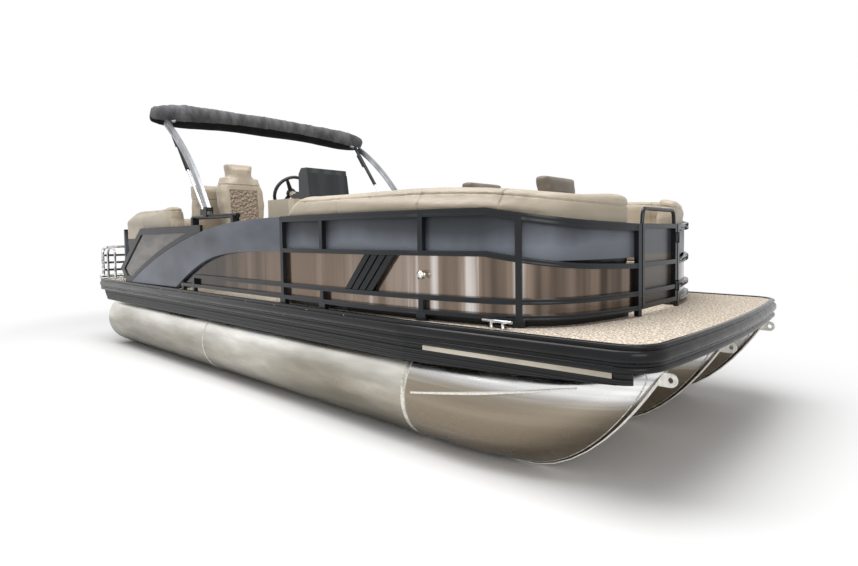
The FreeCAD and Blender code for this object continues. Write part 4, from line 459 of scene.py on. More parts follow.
# Keel bars, towing eyes and spray fins: plain bar, welded on with a rippled
# bead at each side, brushed bright and slightly dull between the ripples.
bead_radius = 0.0035
bar_half_width = 0.021
bead_points = 22
bead_start = 0.06
bead_run = 0.90
bar_metal = new_finish("welded_bar", (0.86, 0.83, 0.77), 0.50)
tint(bar_metal, clouds(bar_metal, 2.0, (30.0, 30.0, 30.0)), (0.72, 0.69, 0.63), (0.92, 0.90, 0.85))
grain(bar_metal, 260.0, 0.0012, 2.0)
clad(bar_metal, "keel_strips", "strakes", edge=0.002)


def mesh_made_by(piece):
    """The mesh that a curve's bevel or a piece's modifiers make."""
    graph = bpy.context.evaluated_depsgraph_get()
    return bpy.data.meshes.new_from_object(piece.evaluated_get(graph), depsgraph=graph)


def mesh_of_curve(curve):
    holder = new_object(curve.name, curve)
    data = mesh_made_by(holder)
    bpy.data.objects.remove(holder)
    bpy.data.curves.remove(curve)
    return data


def add_line(curve, points, cyclic=False):
    line = curve.splines.new("NURBS")
    line.points.add(len(points) - 1)
    for spot, place in zip(line.points, points):
        spot.co = (*place, 1)
    line.order_u = 3
    line.use_endpoint_u = not cyclic
    line.use_cyclic_u = cyclic


def new_tube(name, radius, sides=8):
    curve = bpy.data.curves.new(name, "CURVE")
    curve.dimensions = "3D"
    curve.bevel_depth = radius
    curve.bevel_resolution = sides // 4
    curve.use_fill_caps = True
    return curve


bead = new_finish("weld_bead", (0.74, 0.73, 0.69), 0.30, 1.0)
grain(bead, 240.0, 0.004, 1.0)
mottle(bead, 120.0, (0.30, 0.28, 0.25), (0.85, 0.84, 0.80))
bead_curve = new_tube("stem_beads", bead_radius)
for side in (-1, 0, 1):
    for hand in (-1, 1):
        line = []
        for i in range(bead_points):
            angle = math.pi * (bead_start + bead_run * i / (bead_points - 1))
            up = tube_middle_z - tube_radius * math.cos(angle)
            along = max(0, 1 - bar_half_width / half_at(up)) ** (1 / nose_fullness)
            x = nose_start + (stem_at(up) - nose_start) * along
            line.append((x, side * tube_spacing + hand * bar_half_width, up))
        add_line(bead_curve, line)
    for place, width in ring_bands:
        for edge in (place - width / 2, place + width / 2):
            ring = []
            for i in range(bead_points * 2):
                angle = math.pi * i / bead_points
                y = side * tube_spacing + tube_radius * math.sin(angle)
                ring.append((edge, y, tube_middle_z - tube_radius * math.cos(angle)))
            add_line(bead_curve, ring, cyclic=True)
bead_piece = link_mesh("stem_beads", mesh_of_curve(bead_curve), "hull", bead)


# Underframe: extruded brackets and channels in mill finish, dull and grey, that
# carry the deck on the tubes, and the welded pod that takes the motor.
mill_metal = new_finish("mill_channel", (0.42, 0.43, 0.44), 0.5, 1.0)
tint(mill_metal, clouds(mill_metal, 5.0, (1, 12, 1)), (0.34, 0.35, 0.36), (0.48, 0.49, 0.50))
roughen(mill_metal, clouds(mill_metal, 4.0, (2, 80, 80)), 0.0004)
clad(mill_metal, "tube_brackets", "cross_members", "motor_pod")
ease(0.003, "motor_pod")


# Deck: treated board with a beige woven vinyl covering that is flecked with
# brown and white thread.
board = new_finish("deck_ply", (0.33, 0.23, 0.14), 0.8)
tint(board, clouds(board, 3.0, (1, 9, 9)), (0.27, 0.18, 0.10), (0.40, 0.29, 0.18))
clad(board, "deck_board")
weave_grades = (
    (0.34, (0.20, 0.155, 0.11)),
    (0.46, (0.50, 0.41, 0.32)),
    (0.54, (0.74, 0.64, 0.52)),
    (0.64, (0.95, 0.91, 0.83)),
)
covering = new_finish("woven_vinyl", (0.66, 0.57, 0.46), 0.92)
flecks = pattern_on(covering, "ShaderNodeTexNoise", Scale=78.0, Detail=3.0, Roughness=0.7)
ramp_over(covering, flecks.outputs["Fac"], weave_grades)
roughen(covering, flecks.outputs["Fac"], 0.003)
clad(covering, "floor_covering")


# Rub rail: one black moulding round the deck's edge. It has a lip on top, two
# grooves and a broad round bulge between them, satin and slightly scuffed.
rail_fore_x = 4.1464
rail_aft_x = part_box("deck_board")[0].x
rail_taper_x = 2.634
rail_wide = 1.270
rail_narrow = 1.165
rail_bow_bulge = 0.066
rail_bow_radius = 0.19
rail_stern_radius = 0.06
rail_well_half = 0.500
rail_taper_radius = 0.3
rail_front_radius = 0.4
rail_bow_steps = 12
rail_corner_steps = 10
rail_section = (
    (-0.0165, 0.7845), (-0.0165, 0.7905), (-0.013, 0.792), (0.006, 0.792), (0.0125, 0.789),
    (0.0145, 0.783), (0.0135, 0.777), (0.0085, 0.774), (0.0085, 0.769), (0.0140, 0.765),
    (0.0195, 0.760), (0.0235, 0.752), (0.0248, 0.742), (0.0248, 0.730), (0.0235, 0.721),
    (0.0190, 0.713), (0.0140, 0.709), (0.0075, 0.705), (0.0070, 0.692), (0.0125, 0.688),
    (0.0155, 0.681), (0.0160, 0.672), (0.0140, 0.666), (0.0090, 0.6625), (0.0015, 0.6625),
    (0.0015, 0.760),
)
rail_black = new_finish("rail_moulding", (0.004, 0.0043, 0.005), 0.22, shine=0.26)
tint(rail_black, clouds(rail_black, 3.0, (0.6, 3, 3)), (0.003, 0.0033, 0.004), (0.007, 0.0075, 0.009))
vary_gloss(rail_black, clouds(rail_black, 6.0, (0.4, 4, 4)), 0.16, 0.32)


def rounded_path(corners, steps):
    """Points along straight runs whose corners are turned by a radius."""
    path = []
    for before, (corner, radius), after in zip(corners, corners[1:], corners[2:]):
        here = Vector(corner)
        back = (Vector(before[0]) - here).normalized()
        on = (Vector(after[0]) - here).normalized()
        half = back.angle(on) / 2
        reach = radius / math.tan(half)
        centre = here + (back + on).normalized() * (radius / math.sin(half))
        first = here + back * reach - centre
        last = here + on * reach - centre
        for i in range(steps + 1):
            path.append(centre + first.slerp(last, i / steps) * radius if radius else here)
    return [corners[0][0]] + [tuple(p) for p in path] + [corners[-1][0]]


rail_corners = [
    ((rail_aft_x, -rail_well_half), 0),
    ((rail_aft_x, -rail_wide), rail_stern_radius),
    ((rail_taper_x, -rail_wide), rail_taper_radius),
    ((rail_fore_x, -rail_narrow), rail_bow_radius),
]
mirrored = [((x, -y), radius) for (x, y), radius in reversed(rail_corners)]
for i in range(2, rail_bow_steps - 1):
    y = -rail_narrow + 2 * rail_narrow * i / rail_bow_steps
    bulge = rail_bow_bulge * (1 - (y / rail_narrow) ** 2)
    rail_corners.append(((rail_fore_x + bulge, y), rail_front_radius))
rail_corners += mirrored
rail_path = rounded_path(rail_corners, rail_corner_steps)
rail = bmesh.new()
edges = []
for i, spot in enumerate(rail_path):
    here = Vector(spot)
    before = Vector(rail_path[max(0, i - 1)])
    after = Vector(rail_path[min(len(rail_path) - 1, i + 1)])
    way = (after - before).normalized()
    out = Vector((way.y, -way.x))
    if i == 0:
        points = [rail.verts.new((here.x + out.x * d, here.y + out.y * d, z)) for d, z in rail_section]
        edges = [rail.edges.new((a, b)) for a, b in zip(points, points[1:] + points[:1])]
        rail.faces.new(points)
        continue
    grown = bmesh.ops.extrude_edge_only(rail, edges=edges)["geom"]
    points, edges = points_of(grown), edges_of(grown)
    for point, (d, z) in zip(points, rail_section):
        point.co = (here.x + out.x * d, here.y + out.y * d, z)
bmesh.ops.contextual_create(rail, geom=points)
rail_piece = keep_piece("rail", rail, "hull", rail_black)
crisp(rail_piece, 50)
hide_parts("rub_rail")


# Rail screws: pan heads in stainless steel, sunk in the rail's upper groove at
# even steps along both sides.
screw_count = 12
screw_first = 0.16
screw_stand = 0.0082
screw_crown = 0.45
screw_radius = 0.0042
screw_step = 0.44
screw_z = 0.7715
screws = bmesh.new()
for hand in (-1, 1):
    for i in range(screw_count):
        place = (rail_aft_x + screw_first + screw_step * i, hand * (rail_wide + screw_stand), screw_z)
        made = bmesh.ops.create_uvsphere(screws, u_segments=12, v_segments=6, radius=screw_radius)
        bmesh.ops.scale(screws, vec=(1, screw_crown, 1), verts=made["verts"])
        bmesh.ops.translate(screws, vec=place, verts=made["verts"])
screw_metal = new_finish("screw_steel", (0.66, 0.66, 0.65), 0.22, 1.0)
mottle(screw_metal, 300.0, (0.45, 0.45, 0.44), (0.80, 0.80, 0.79))
screw_piece = keep_piece("rail_screws", screws, "hull", screw_metal)


# Skirts and stripes: black ribbed sheet that hangs behind the rail, and a
# cream stripe of film along its fore part.
skirt_black = new_finish("skirt_sheet", (0.006, 0.0065, 0.007), 0.40, shine=0.28)
ribs = pattern_on(skirt_black, "ShaderNodeTexWave", Scale=24.0)
ribs.bands_direction = "Z"
# The ribs are painted darker in their grooves and lighter on their crests, as painted shade and
# highlight.
rib_shade_grades = ((0.2, (0.003, 0.003, 0.0035)), (0.9, (0.016, 0.017, 0.019)))
ramp_over(skirt_black, ribs.outputs["Fac"], rib_shade_grades)
roughen(skirt_black, ribs.outputs["Fac"], 0.0015)
clad(skirt_black, "side_skirts")
stripe_cream = new_finish("skirt_stripe", (0.60, 0.53, 0.41), 0.30)
mottle(stripe_cream, 3.0, (0.46, 0.41, 0.33), (0.70, 0.64, 0.53))
clad(stripe_cream, "accent_stripes")


# Fence: rounded square aluminium rails and posts, powder coated in a satin
# black with a fine orange peel. Thin graphite sheet panels fill the frames.
frame_nodes = (
    "fence_frame_starboard", "fence_frame_port", "fence_frame_stern",
    "bow_gate_frame", "side_gate_frame", "stern_gate_frame",
)
graphite = new_finish("graphite_coat", (0.006, 0.008, 0.011), 0.24, shine=0.36)
mottle(graphite, 2.5, (0.005, 0.0065, 0.009), (0.010, 0.012, 0.016))
grain(graphite, 700.0, 0.0002, 2.0)
clad(graphite, *frame_nodes, edge=0.005)
panel_foot = 1.08
panel_top = 1.42
panel_grey = new_finish("graphite_panel", (0.085, 0.095, 0.120), 0.40, 0.35)
drifts = clouds(panel_grey, 1.4, (1.2, 1.2, 0.4))
# The panels' colour is painted lighter low down and darker toward the top, as a painted sheen.
panel_sheen_grades = (
    (0.00, (0.110, 0.122, 0.145)),
    (0.42, (0.145, 0.160, 0.190)),
    (0.72, (0.045, 0.051, 0.061)),
    (1.00, (0.016, 0.019, 0.024)),
)
ramp_over(panel_grey, share_along(panel_grey, "Z", panel_foot, panel_top, drifts, 0.9), panel_sheen_grades)
vary_gloss(panel_grey, clouds(panel_grey, 2.0), 0.34, 0.50)
grain(panel_grey, 420.0, 0.0005, 3.0)
clad(panel_grey, "upper_panels", "stern_panel", "stern_gate_panel")
sweep_grey = new_finish("sweep_coat", (0.080, 0.090, 0.115), 0.34, 0.35)
sweep_sheen = clouds(sweep_grey, 1.3, (0.9, 0.9, 1.6))
# Lighter and darker drifts in the sweep's colour are painted sheen.
tint(sweep_grey, sweep_sheen, (0.030, 0.035, 0.046), (0.135, 0.152, 0.188), 0.32, 0.70)
grain(sweep_grey, 420.0, 0.0005, 3.0)
clad(sweep_grey, "quarter_panels", edge=0.004)


# Lower panels: sheet with a gloss bronze film, a little wavy. Soft upright streaks
# of painted reflection and a bright painted highlight lie in its colour, which is painted
# darker toward its aft and fore ends as painted shade. A gate's sheet is bronze below its middle rail
# and graphite above it.
bronze = new_finish("bronze_film", (0.24, 0.18, 0.135), 0.16, 0.85)
bronze_aft_x = -0.9
bronze_fore_x = 3.75
# Grades along the length: painted shade at the ends, painted reflection and a painted highlight between
# them.
bronze_reflection_grades = (
    (0.00, (0.030, 0.022, 0.018)),
    (0.24, (0.048, 0.035, 0.027)),
    (0.42, (0.200, 0.147, 0.112)),
    (0.62, (0.190, 0.140, 0.105)),
    (0.74, (0.330, 0.265, 0.220)),
    (0.80, (0.720, 0.670, 0.640)),
    (0.86, (0.270, 0.205, 0.160)),
    (1.00, (0.060, 0.044, 0.034)),
)
upright = clouds(bronze, 2.6, (2.6, 2.6, 0.06), 4.0)
ramp_over(bronze, share_along(bronze, "X", bronze_aft_x, bronze_fore_x, upright, 0.55), bronze_reflection_grades)
roughen(bronze, clouds(bronze, 7.0, (1.0, 1.0, 0.12), 2.0), 0.004)
clad(bronze, "lower_panels", "quarter_skins")
gate_split_z = 1.17
gate_sheet = new_finish("gate_sheet", (0.24, 0.18, 0.135), 0.28, 0.5)
still = clouds(gate_sheet, 1.0)
gate_grades = (
    (0.00, (0.050, 0.042, 0.036)),
    (0.46, (0.130, 0.105, 0.085)),
    (0.50, (0.072, 0.078, 0.090)),
    (1.00, (0.092, 0.100, 0.115)),
)
gate_foot = 2 * gate_split_z - panel_top
ramp_over(gate_sheet, share_along(gate_sheet, "Z", gate_foot, panel_top, still, 0.02), gate_grades)
clad(gate_sheet, "bow_gate_panel", "side_gate_panel")


# Aft windows, windscreen, louvres and small black trim, each moulded or
# extruded in black, with smoked sheet that shows the seats behind it.
smoke = new_finish("smoked_sheet", (0.10, 0.09, 0.08), 0.08)
shader_of(smoke).inputs["Transmission Weight"].default_value = 0.35
shader_of(smoke).inputs["IOR"].default_value = 1.45
tint(smoke, clouds(smoke, 2.2, (1, 1, 3)), (0.050, 0.043, 0.038), (0.20, 0.175, 0.155), 0.38, 0.62)
clad(smoke, "aft_windows")
dark_smoke = new_finish("screen_sheet", (0.020, 0.023, 0.026), 0.08, shine=0.35)
shader_of(dark_smoke).inputs["Transmission Weight"].default_value = 0.4
tint(dark_smoke, clouds(dark_smoke, 1.5, (1, 6, 0.4)), (0.010, 0.012, 0.014), (0.050, 0.056, 0.062))
clad(dark_smoke, "windscreen")
trim = new_finish("black_trim", (0.006, 0.007, 0.008), 0.32, shine=0.28)
mottle(trim, 9.0, (0.004, 0.005, 0.006), (0.010, 0.011, 0.013))
grain(trim, 260.0, 0.0004, 2.0)
trim_nodes = ("window_frames", "louvres", "bimini_mounts", "throttle", "helm_seat_arms", "lift_sleeves")
clad(trim, *trim_nodes, edge=0.004)


# Deck hardware in polished stainless steel: cleats, grab rail, ladder, the
# seat's pedestal and the lift rods, with faint wipe marks in the gloss and darker and lighter patches of
# painted reflection in the colour.
steel_nodes = ("cleats", "grab_rail", "boarding_ladder", "ladder_hinge", "helm_pedestal", "lift_rods")
stainless = new_finish("polished_steel", (0.62, 0.62, 0.61), 0.12, 1.0)
tint(stainless, clouds(stainless, 26.0, detail=2.0), (0.30, 0.30, 0.30), (0.82, 0.82, 0.81))
vary_gloss(stainless, clouds(stainless, 14.0), 0.06, 0.20)
clad(stainless, *steel_nodes)
ease(0.003, "cleats", "ladder_hinge")


# Side lamps: a chromed horn on each side's panel, closed by a low dome at its
# mouth toward the bow. Each profile point is a length along it and a radius.
lamp_profile = (
    (-0.004, 0.0), (-0.002, 0.019), (0.000, 0.021), (0.010, 0.026),
    (0.022, 0.0255), (0.034, 0.020), (0.046, 0.0135), (0.052, 0.0),
)
lamp_turns = 28
lamp_squash = 0.86
lamp_shift = 0.024
lamp_inset = 0.030
lamp_room = 0.1
chrome = new_finish("lamp_chrome", (0.80, 0.79, 0.76), 0.07, 1.0)
# Darker and brighter patches in the chrome's colour are painted reflection.
tint(chrome, clouds(chrome, 42.0, detail=2.0), (0.22, 0.21, 0.19), (0.93, 0.92, 0.88))
lamp_low, lamp_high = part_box("side_lights")
lamps = bmesh.new()
for hand in (-1, 1):
    middle = (lamp_low + lamp_high) / 2
    foot = Vector((middle.x + lamp_shift, hand * (lamp_high.y - lamp_inset), middle.z))
    profile = [lamps.verts.new((-along, radius, 0)) for along, radius in lamp_profile]
    line = [lamps.edges.new((a, b)) for a, b in zip(profile, profile[1:])]
    bmesh.ops.spin(
        lamps, geom=profile + line, axis=(1, 0, 0), cent=(0, 0, 0), steps=lamp_turns,
        angle=2 * math.pi, use_merge=True,
    )
    fresh = [v for v in lamps.verts if max(abs(v.co.x), abs(v.co.y)) < lamp_room]
    bmesh.ops.scale(lamps, vec=(1, 1, lamp_squash), verts=fresh)
    bmesh.ops.translate(lamps, vec=foot, verts=fresh)
bmesh.ops.remove_doubles(lamps, verts=lamps.verts, dist=0.0001)
lamp_piece = keep_piece("lamp_horns", lamps, "hull", chrome)
clad(chrome, "side_lights")


# Folding top's arch: satin anodised channel, bent to a wide curve, with a slot
# down each face that shows as a dark line. A round tube crosses in the boot.
anodised = new_finish("anodised_tube", (0.36, 0.37, 0.39), 0.30, 1.0)
# Darker and lighter patches in the anodised colour are painted reflection.
tint(anodised, clouds(anodised, 1.3, (2, 2, 2), 2.0), (0.20, 0.21, 0.225), (0.48, 0.49, 0.51))
leg_depth = 0.062
leg_width = 0.030
leg_slot_depth = 0.005
leg_bulge = 0.075
leg_foot_y = 1.198
leg_lean = 0.024
arch_low, arch_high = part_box("bimini_arch")
leg_foot_inset = (0.048, 0.034)
leg_head_inset = (0.065, 0.055)
leg_steps = 22
slot_half = 0.08
arch_foot = Vector((arch_high.x - leg_foot_inset[0], 0, arch_low.z + leg_foot_inset[1]))
arch_head = Vector((arch_low.x + leg_head_inset[0], 0, arch_high.z - leg_head_inset[1]))
span = arch_head - arch_foot
outward = Vector((span.z, 0, -span.x)).normalized()
leg_radius = span.length ** 2 / (8 * leg_bulge) + leg_bulge / 2
leg_centre = (arch_foot + arch_head) / 2 - outward * (leg_radius - leg_bulge)
leg_turn = 2 * math.asin(span.length / 2 / leg_radius)
leg_section = (
    (-0.5, -0.5, 0), (-0.5, 0.5, 0), (-slot_half, 0.5, 0), (-slot_half, 0.5, 1),
    (slot_half, 0.5, 1), (slot_half, 0.5, 0), (0.5, 0.5, 0), (0.5, -0.5, 0),
    (slot_half, -0.5, 0), (slot_half, -0.5, 1), (-slot_half, -0.5, 1), (-slot_half, -0.5, 0),
)
legs = bmesh.new()
spoke = (arch_foot - leg_centre).normalized()
for hand in (-1, 1):
    made = []
    for across, sideways, sunk in leg_section:
        inset = leg_slot_depth * sunk * (1 if sideways < 0 else -1)
        y = hand * leg_foot_y + sideways * leg_width + inset
        reach = spoke * (leg_radius + across * leg_depth)
        made.append(legs.verts.new(leg_centre + reach + Vector((0, y, 0))))
    base = legs.faces.new(made)
    geom = made + base.edges[:] + [base]
    bmesh.ops.spin(legs, geom=geom, axis=(0, 1, 0), cent=leg_centre, steps=leg_steps, angle=-leg_turn)
for point in legs.verts:
    share = (point.co.z - arch_foot.z) / span.z
    point.co.y -= math.copysign(leg_lean * share, point.co.y)
leg_piece = keep_piece("arch_legs", legs, "bimini", anodised)
crisp(leg_piece, 40)
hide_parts("bimini_arch")
bow_radius = 0.016
bow_inner_y = 1.07
bow_bend = 0.05
bow_drop = 0.01
bow_curve = new_tube("arch_bows", bow_radius, 16)
for hand in (-1, 1):
    shoulder = Vector((arch_head.x, hand * (leg_foot_y - leg_lean), arch_head.z))
    inner = Vector((arch_low.x + bow_radius, hand * bow_inner_y, arch_high.z - bow_radius))
    crown = Vector((inner.x, shoulder.y - hand * bow_bend, inner.z - bow_drop))
    add_line(bow_curve, [shoulder, crown, inner])
bow_piece = link_mesh("arch_bows", mesh_of_curve(bow_curve), "bimini", anodised)
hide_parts("bimini_arch")


# Console and couch bases: moulded plastic in beige with a fine leather grain and
# a black kick strip, and the helm's black pod with upright creases in its face.
kick_low = 0.78
kick_high = 1.58
kick_grades = (
    (0.085, (0.010, 0.010, 0.010)),
    (0.095, (0.420, 0.360, 0.275)),
    (0.500, (0.520, 0.450, 0.345)),
    (1.000, (0.460, 0.395, 0.305)),
)
moulded = new_finish("moulded_beige", (0.50, 0.43, 0.33), 0.42)
shades = clouds(moulded, 1.6)
ramp_over(moulded, share_along(moulded, "Z", kick_low, kick_high, shades, 0.006), kick_grades)
grain(moulded, 320.0, 0.0008, 3.0)
clad(moulded, "couch_bases", "console_body", edge=0.006)
pod_black = new_finish("pod_moulding", (0.016, 0.019, 0.021), 0.36)
crease_stretch = (1, 1, 0.15)
creases = pattern_on(
    pod_black, "ShaderNodeTexWave", crease_stretch, Scale=2.6, Distortion=0.6, Detail=1.0,
)
creases.bands_direction = "Y"
# The creases are painted darker in their furrows and lighter on their ridges, as painted shade and
# highlight.
pod_crease_light_grades = ((0.2, (0.012, 0.014, 0.016)), (0.85, (0.034, 0.040, 0.043)))
ramp_over(pod_black, creases.outputs["Fac"], pod_crease_light_grades)
roughen(pod_black, creases.outputs["Fac"], 0.008)
clad(pod_black, "console_pod", edge=0.010)


# Steering wheel: a padded rim with finger grips on three flat spokes, with a
# plain round cap over the nut. It turns with its shaft.
wheel_low, wheel_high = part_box("steering_wheel")
wheel_middle = (wheel_low + wheel_high) / 2
wheel_rim = 0.161
wheel_grip = 0.0145
cap_radius = 0.046
cap_height = 0.030
cap_taper = 0.86
cap_edge_turn = 0.8
wheel_tilt = math.radians(28)
wheel_steps = 56
finger_count = 24
finger_depth = 0.0022
spoke_count = 3
spoke_width = 0.026
spoke_thick = 0.009
spoke_flare = 1.7
wheel_black = new_finish("wheel_grip", (0.014, 0.014, 0.014), 0.50)
mottle(wheel_black, 30.0, (0.010, 0.010, 0.010), (0.026, 0.026, 0.027))
grain(wheel_black, 500.0, 0.0006, 2.0)


def round_edges(mesh, edges, offset, segments=2):
    bmesh.ops.bevel(
        mesh, geom=edges, offset=offset, segments=segments, profile=0.5, affect="EDGES", material=-1,
    )


wheel = bmesh.new()
grip = bmesh.ops.create_circle(wheel, segments=14, radius=wheel_grip)["verts"]
bmesh.ops.rotate(wheel, verts=grip, cent=(0, 0, 0), matrix=Matrix.Rotation(math.pi / 2, 3, "X"))
bmesh.ops.translate(wheel, verts=grip, vec=(wheel_rim, 0, 0))
bmesh.ops.spin(
    wheel, geom=wheel.verts[:] + wheel.edges[:], axis=(0, 0, 1), cent=(0, 0, 0), steps=wheel_steps,
    angle=2 * math.pi, use_merge=True,
)
for point in wheel.verts:
    around = math.atan2(point.co.y, point.co.x)
    if point.co.z < 0:
        point.co.z -= finger_depth * (0.5 + 0.5 * math.cos(around * finger_count))
for i in range(spoke_count):
    spoke = bmesh.ops.create_cube(wheel, size=1.0)["verts"]
    bmesh.ops.scale(wheel, vec=(wheel_rim - 0.01, spoke_width, spoke_thick), verts=spoke)
    bmesh.ops.translate(wheel, vec=(wheel_rim / 2, 0, 0), verts=spoke)
    for point in spoke:
        if point.co.x < wheel_rim / 2:
            point.co.y *= spoke_flare
    around = Matrix.Rotation(math.radians(90 + 360 / spoke_count * i), 3, "Z")
    bmesh.ops.rotate(wheel, verts=spoke, cent=(0, 0, 0), matrix=around)
    round_edges(wheel, list({edge for point in spoke for edge in point.link_edges}), 0.003)
hub = bmesh.ops.create_cone(
    wheel, cap_ends=True, segments=36, radius1=cap_radius, radius2=cap_radius * cap_taper,
    depth=cap_height,
)["verts"]
hub_edges = {edge for point in hub for edge in point.link_edges}
round_edges(wheel, [edge for edge in hub_edges if edge.calc_face_angle(0) > cap_edge_turn], 0.006, 3)
turned = Matrix.Translation(wheel_middle) @ Matrix.Rotation(math.pi / 2 + wheel_tilt, 4, "Y")
bmesh.ops.transform(wheel, matrix=turned, verts=wheel.verts)
wheel_piece = keep_piece("wheel", wheel, "steering_wheel", wheel_black)
crisp(wheel_piece, 45)
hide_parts("steering_wheel")


# Outboard: a gloss painted cowl over a satin leg, the plain engine block
# inside it, and a painted bracket that clamps it to the stern.
motor_paint = new_finish("cowl_paint", (0.016, 0.017, 0.020), 0.16, 0.3)
shader_of(motor_paint).inputs["Coat Weight"].default_value = 0.6
mottle(motor_paint, 3.0, (0.012, 0.013, 0.015), (0.030, 0.032, 0.038))
motor_metal = new_finish("leg_paint", (0.020, 0.021, 0.024), 0.38, 0.4)
mottle(motor_metal, 6.0, (0.015, 0.016, 0.018), (0.034, 0.036, 0.040))
grain(motor_metal, 180.0, 0.0005, 2.0)
clad(motor_paint, "motor_cowl", edge=0.012)
clad(motor_metal, "motor_leg", "swivel_bracket", "clamp_brackets", edge=0.004)
iron = new_finish("engine_iron", (0.10, 0.10, 0.10), 0.6, 0.6)
mottle(iron, 12.0, (0.07, 0.07, 0.07), (0.15, 0.145, 0.14))
grain(iron, 90.0, 0.001)
clad(iron, "engine_block")
blade_steel = new_finish("blade_steel", (0.50, 0.50, 0.50), 0.16, 1.0)
tint(blade_steel, clouds(blade_steel, 10.0, (4, 1, 1)), (0.36, 0.36, 0.37), (0.66, 0.66, 0.66))
clad(blade_steel, "propeller", edge=0.002)


# Upholstery: marine vinyl over foam, sewn in panels. Each cushion takes its
# outline from its solid, swells as its cover fills with foam, and is drawn in
# along its seams. The backs have a black shell where the fence hides them.
vinyl_beige = (0.47, 0.402, 0.307)
vinyl_shade = (0.37, 0.313, 0.238)
vinyl = new_finish("marine_vinyl", vinyl_beige, 0.44)
mottle(vinyl, 1.8, vinyl_shade, vinyl_beige)
grain(vinyl, 360.0, 0.0009, 3.0)
roughen(vinyl, clouds(vinyl, 7.0, (1, 1, 2.5), 3.0), 0.006)
shader_of(vinyl).inputs["Sheen Weight"].default_value = 0.12
seam_half_width = 0.008
seam_depth = 0.0075
fill_frames = 20
fill_pressure = 4.0
swell_limit = 0.024
fence_limit = 0.006
fence_top = 1.43
fence_side_y = 1.08
fence_fore_x = 3.2
fence_aft_x = -2.05
broad_face = 0.026
fine_face = 0.018
helm_face = 0.015


def opened(data):
    mesh = bmesh.new()
    mesh.from_mesh(data)
    return mesh


def outline_mesh(node, face_size):
    """Closed even meshes over a node's solids, one object for each cushion."""
    whole = opened(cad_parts[node].data)
    bmesh.ops.remove_doubles(whole, verts=whole.verts, dist=0.00005)
    bmesh.ops.recalc_face_normals(whole, faces=whole.faces)
    left = set(whole.verts)
    pads = []
    while left:
        grown = {left.pop()}
        edge_front = list(grown)
        while edge_front:
            beside = {e.other_vert(v) for v in edge_front for e in v.link_edges} - grown
            grown |= beside
            edge_front = list(beside)
        left -= grown
        pads.append(grown)
    pads.sort(key=lambda points: tuple(round(min(p.co[i] for p in points), 3) for i in range(3)))
    made = []
    for i, points in enumerate(pads):
        part = whole.copy()
        part.verts.ensure_lookup_table()
        kept = {v.index for v in points}
        bmesh.ops.delete(part, geom=[v for v in part.verts if v.index not in kept], context="VERTS")
        data = bpy.data.meshes.new("%s_%d" % (node, i + 1))
        put_into(data, part)
        made.append(remeshed(data, face_size))
    whole.free()
    return made


def remeshed(data, face_size):
    """An object of a mesh, made anew of even small faces."""
    pad = new_object(data.name, data)
    remesh = pad.modifiers.new("even", "REMESH")
    remesh.mode = "VOXEL"
    remesh.voxel_size = face_size
    bake_modifiers(pad)
    return pad


def bake_modifiers(piece):
    """Replaces a piece's mesh by what its modifiers make of it."""
    made = mesh_made_by(piece)
    piece.modifiers.clear()
    piece.data = made


def smooth_mesh(pad, times):
    mesh = opened(pad.data)
    for _ in range(times):
        bmesh.ops.smooth_vert(
            mesh, verts=mesh.verts, factor=0.5, use_axis_x=True, use_axis_y=True, use_axis_z=True,
        )
    put_into(pad.data, mesh)


def reach_of(place):
    """How far a cover may swell at a place: little where the fence is."""
    beside = abs(place.y) > fence_side_y or place.x > fence_fore_x or place.x < fence_aft_x
    return fence_limit if beside and place.z < fence_top else swell_limit


def fill_covers(pads):
    """Swells all covers at once with cloth under pressure, up to a limit."""
    for pad in pads:
        cloth = pad.modifiers.new("cover", "CLOTH")
        cloth.settings.use_pressure = True
        cloth.settings.uniform_pressure_force = fill_pressure
        cloth.settings.effector_weights.gravity = 0
        cloth.point_cache.frame_start = 1
        cloth.point_cache.frame_end = fill_frames
    for step in range(1, fill_frames + 1):
        scene.frame_set(step)
    for pad in pads:
        first = [v.co.copy() for v in pad.data.vertices]
        bake_modifiers(pad)
        for point, start in zip(pad.data.vertices, first):
            away = point.co - start
            most = reach_of(start)
            if away.length > most:
                point.co = start + away.normalized() * most
        smooth_mesh(pad, 2)
        pad.modifiers.new("fine", "SUBSURF").levels = 1
        bake_modifiers(pad)
    scene.frame_set(1)


def draw_seam(pad, place, way, keep=None):
    """Draws a pad in along the plane through a place, as a sewn seam does."""
    mesh = opened(pad.data)
    way = Vector(way).normalized()
    place = Vector(place)
    for shift in (-seam_half_width, 0, seam_half_width):
        every = mesh.verts[:] + mesh.edges[:] + mesh.faces[:]
        bmesh.ops.bisect_plane(mesh, geom=every, plane_co=place + way * shift, plane_no=way)
    mesh.normal_update()
    for point in mesh.verts:
        off = abs((point.co - place).dot(way))
        if off < seam_half_width / 2 and (keep is None or keep(point)):
            point.co -= point.normal * seam_depth
    put_into(pad.data, mesh)


def upholster(pad, body):
    cover(pad.data, vinyl)
    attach(pad, body)


def round_end(pads, start_x, run, power, kept, port_y):
    """Lowers the aft end of a back from a place on, as its foam is cut round."""
    for pad in pads:
        for point in pad.data.vertices:
            share = (start_x - point.co.x) / run
            if 0 < share <= 1.1 and point.co.y < port_y and point.co.z > couch_end_z:
                lowered = math.sqrt(max(0, 1 - min(1, share) ** power))
                left = kept + (1 - kept) * lowered
                point.co.z = couch_end_z + (point.co.z - couch_end_z) * left


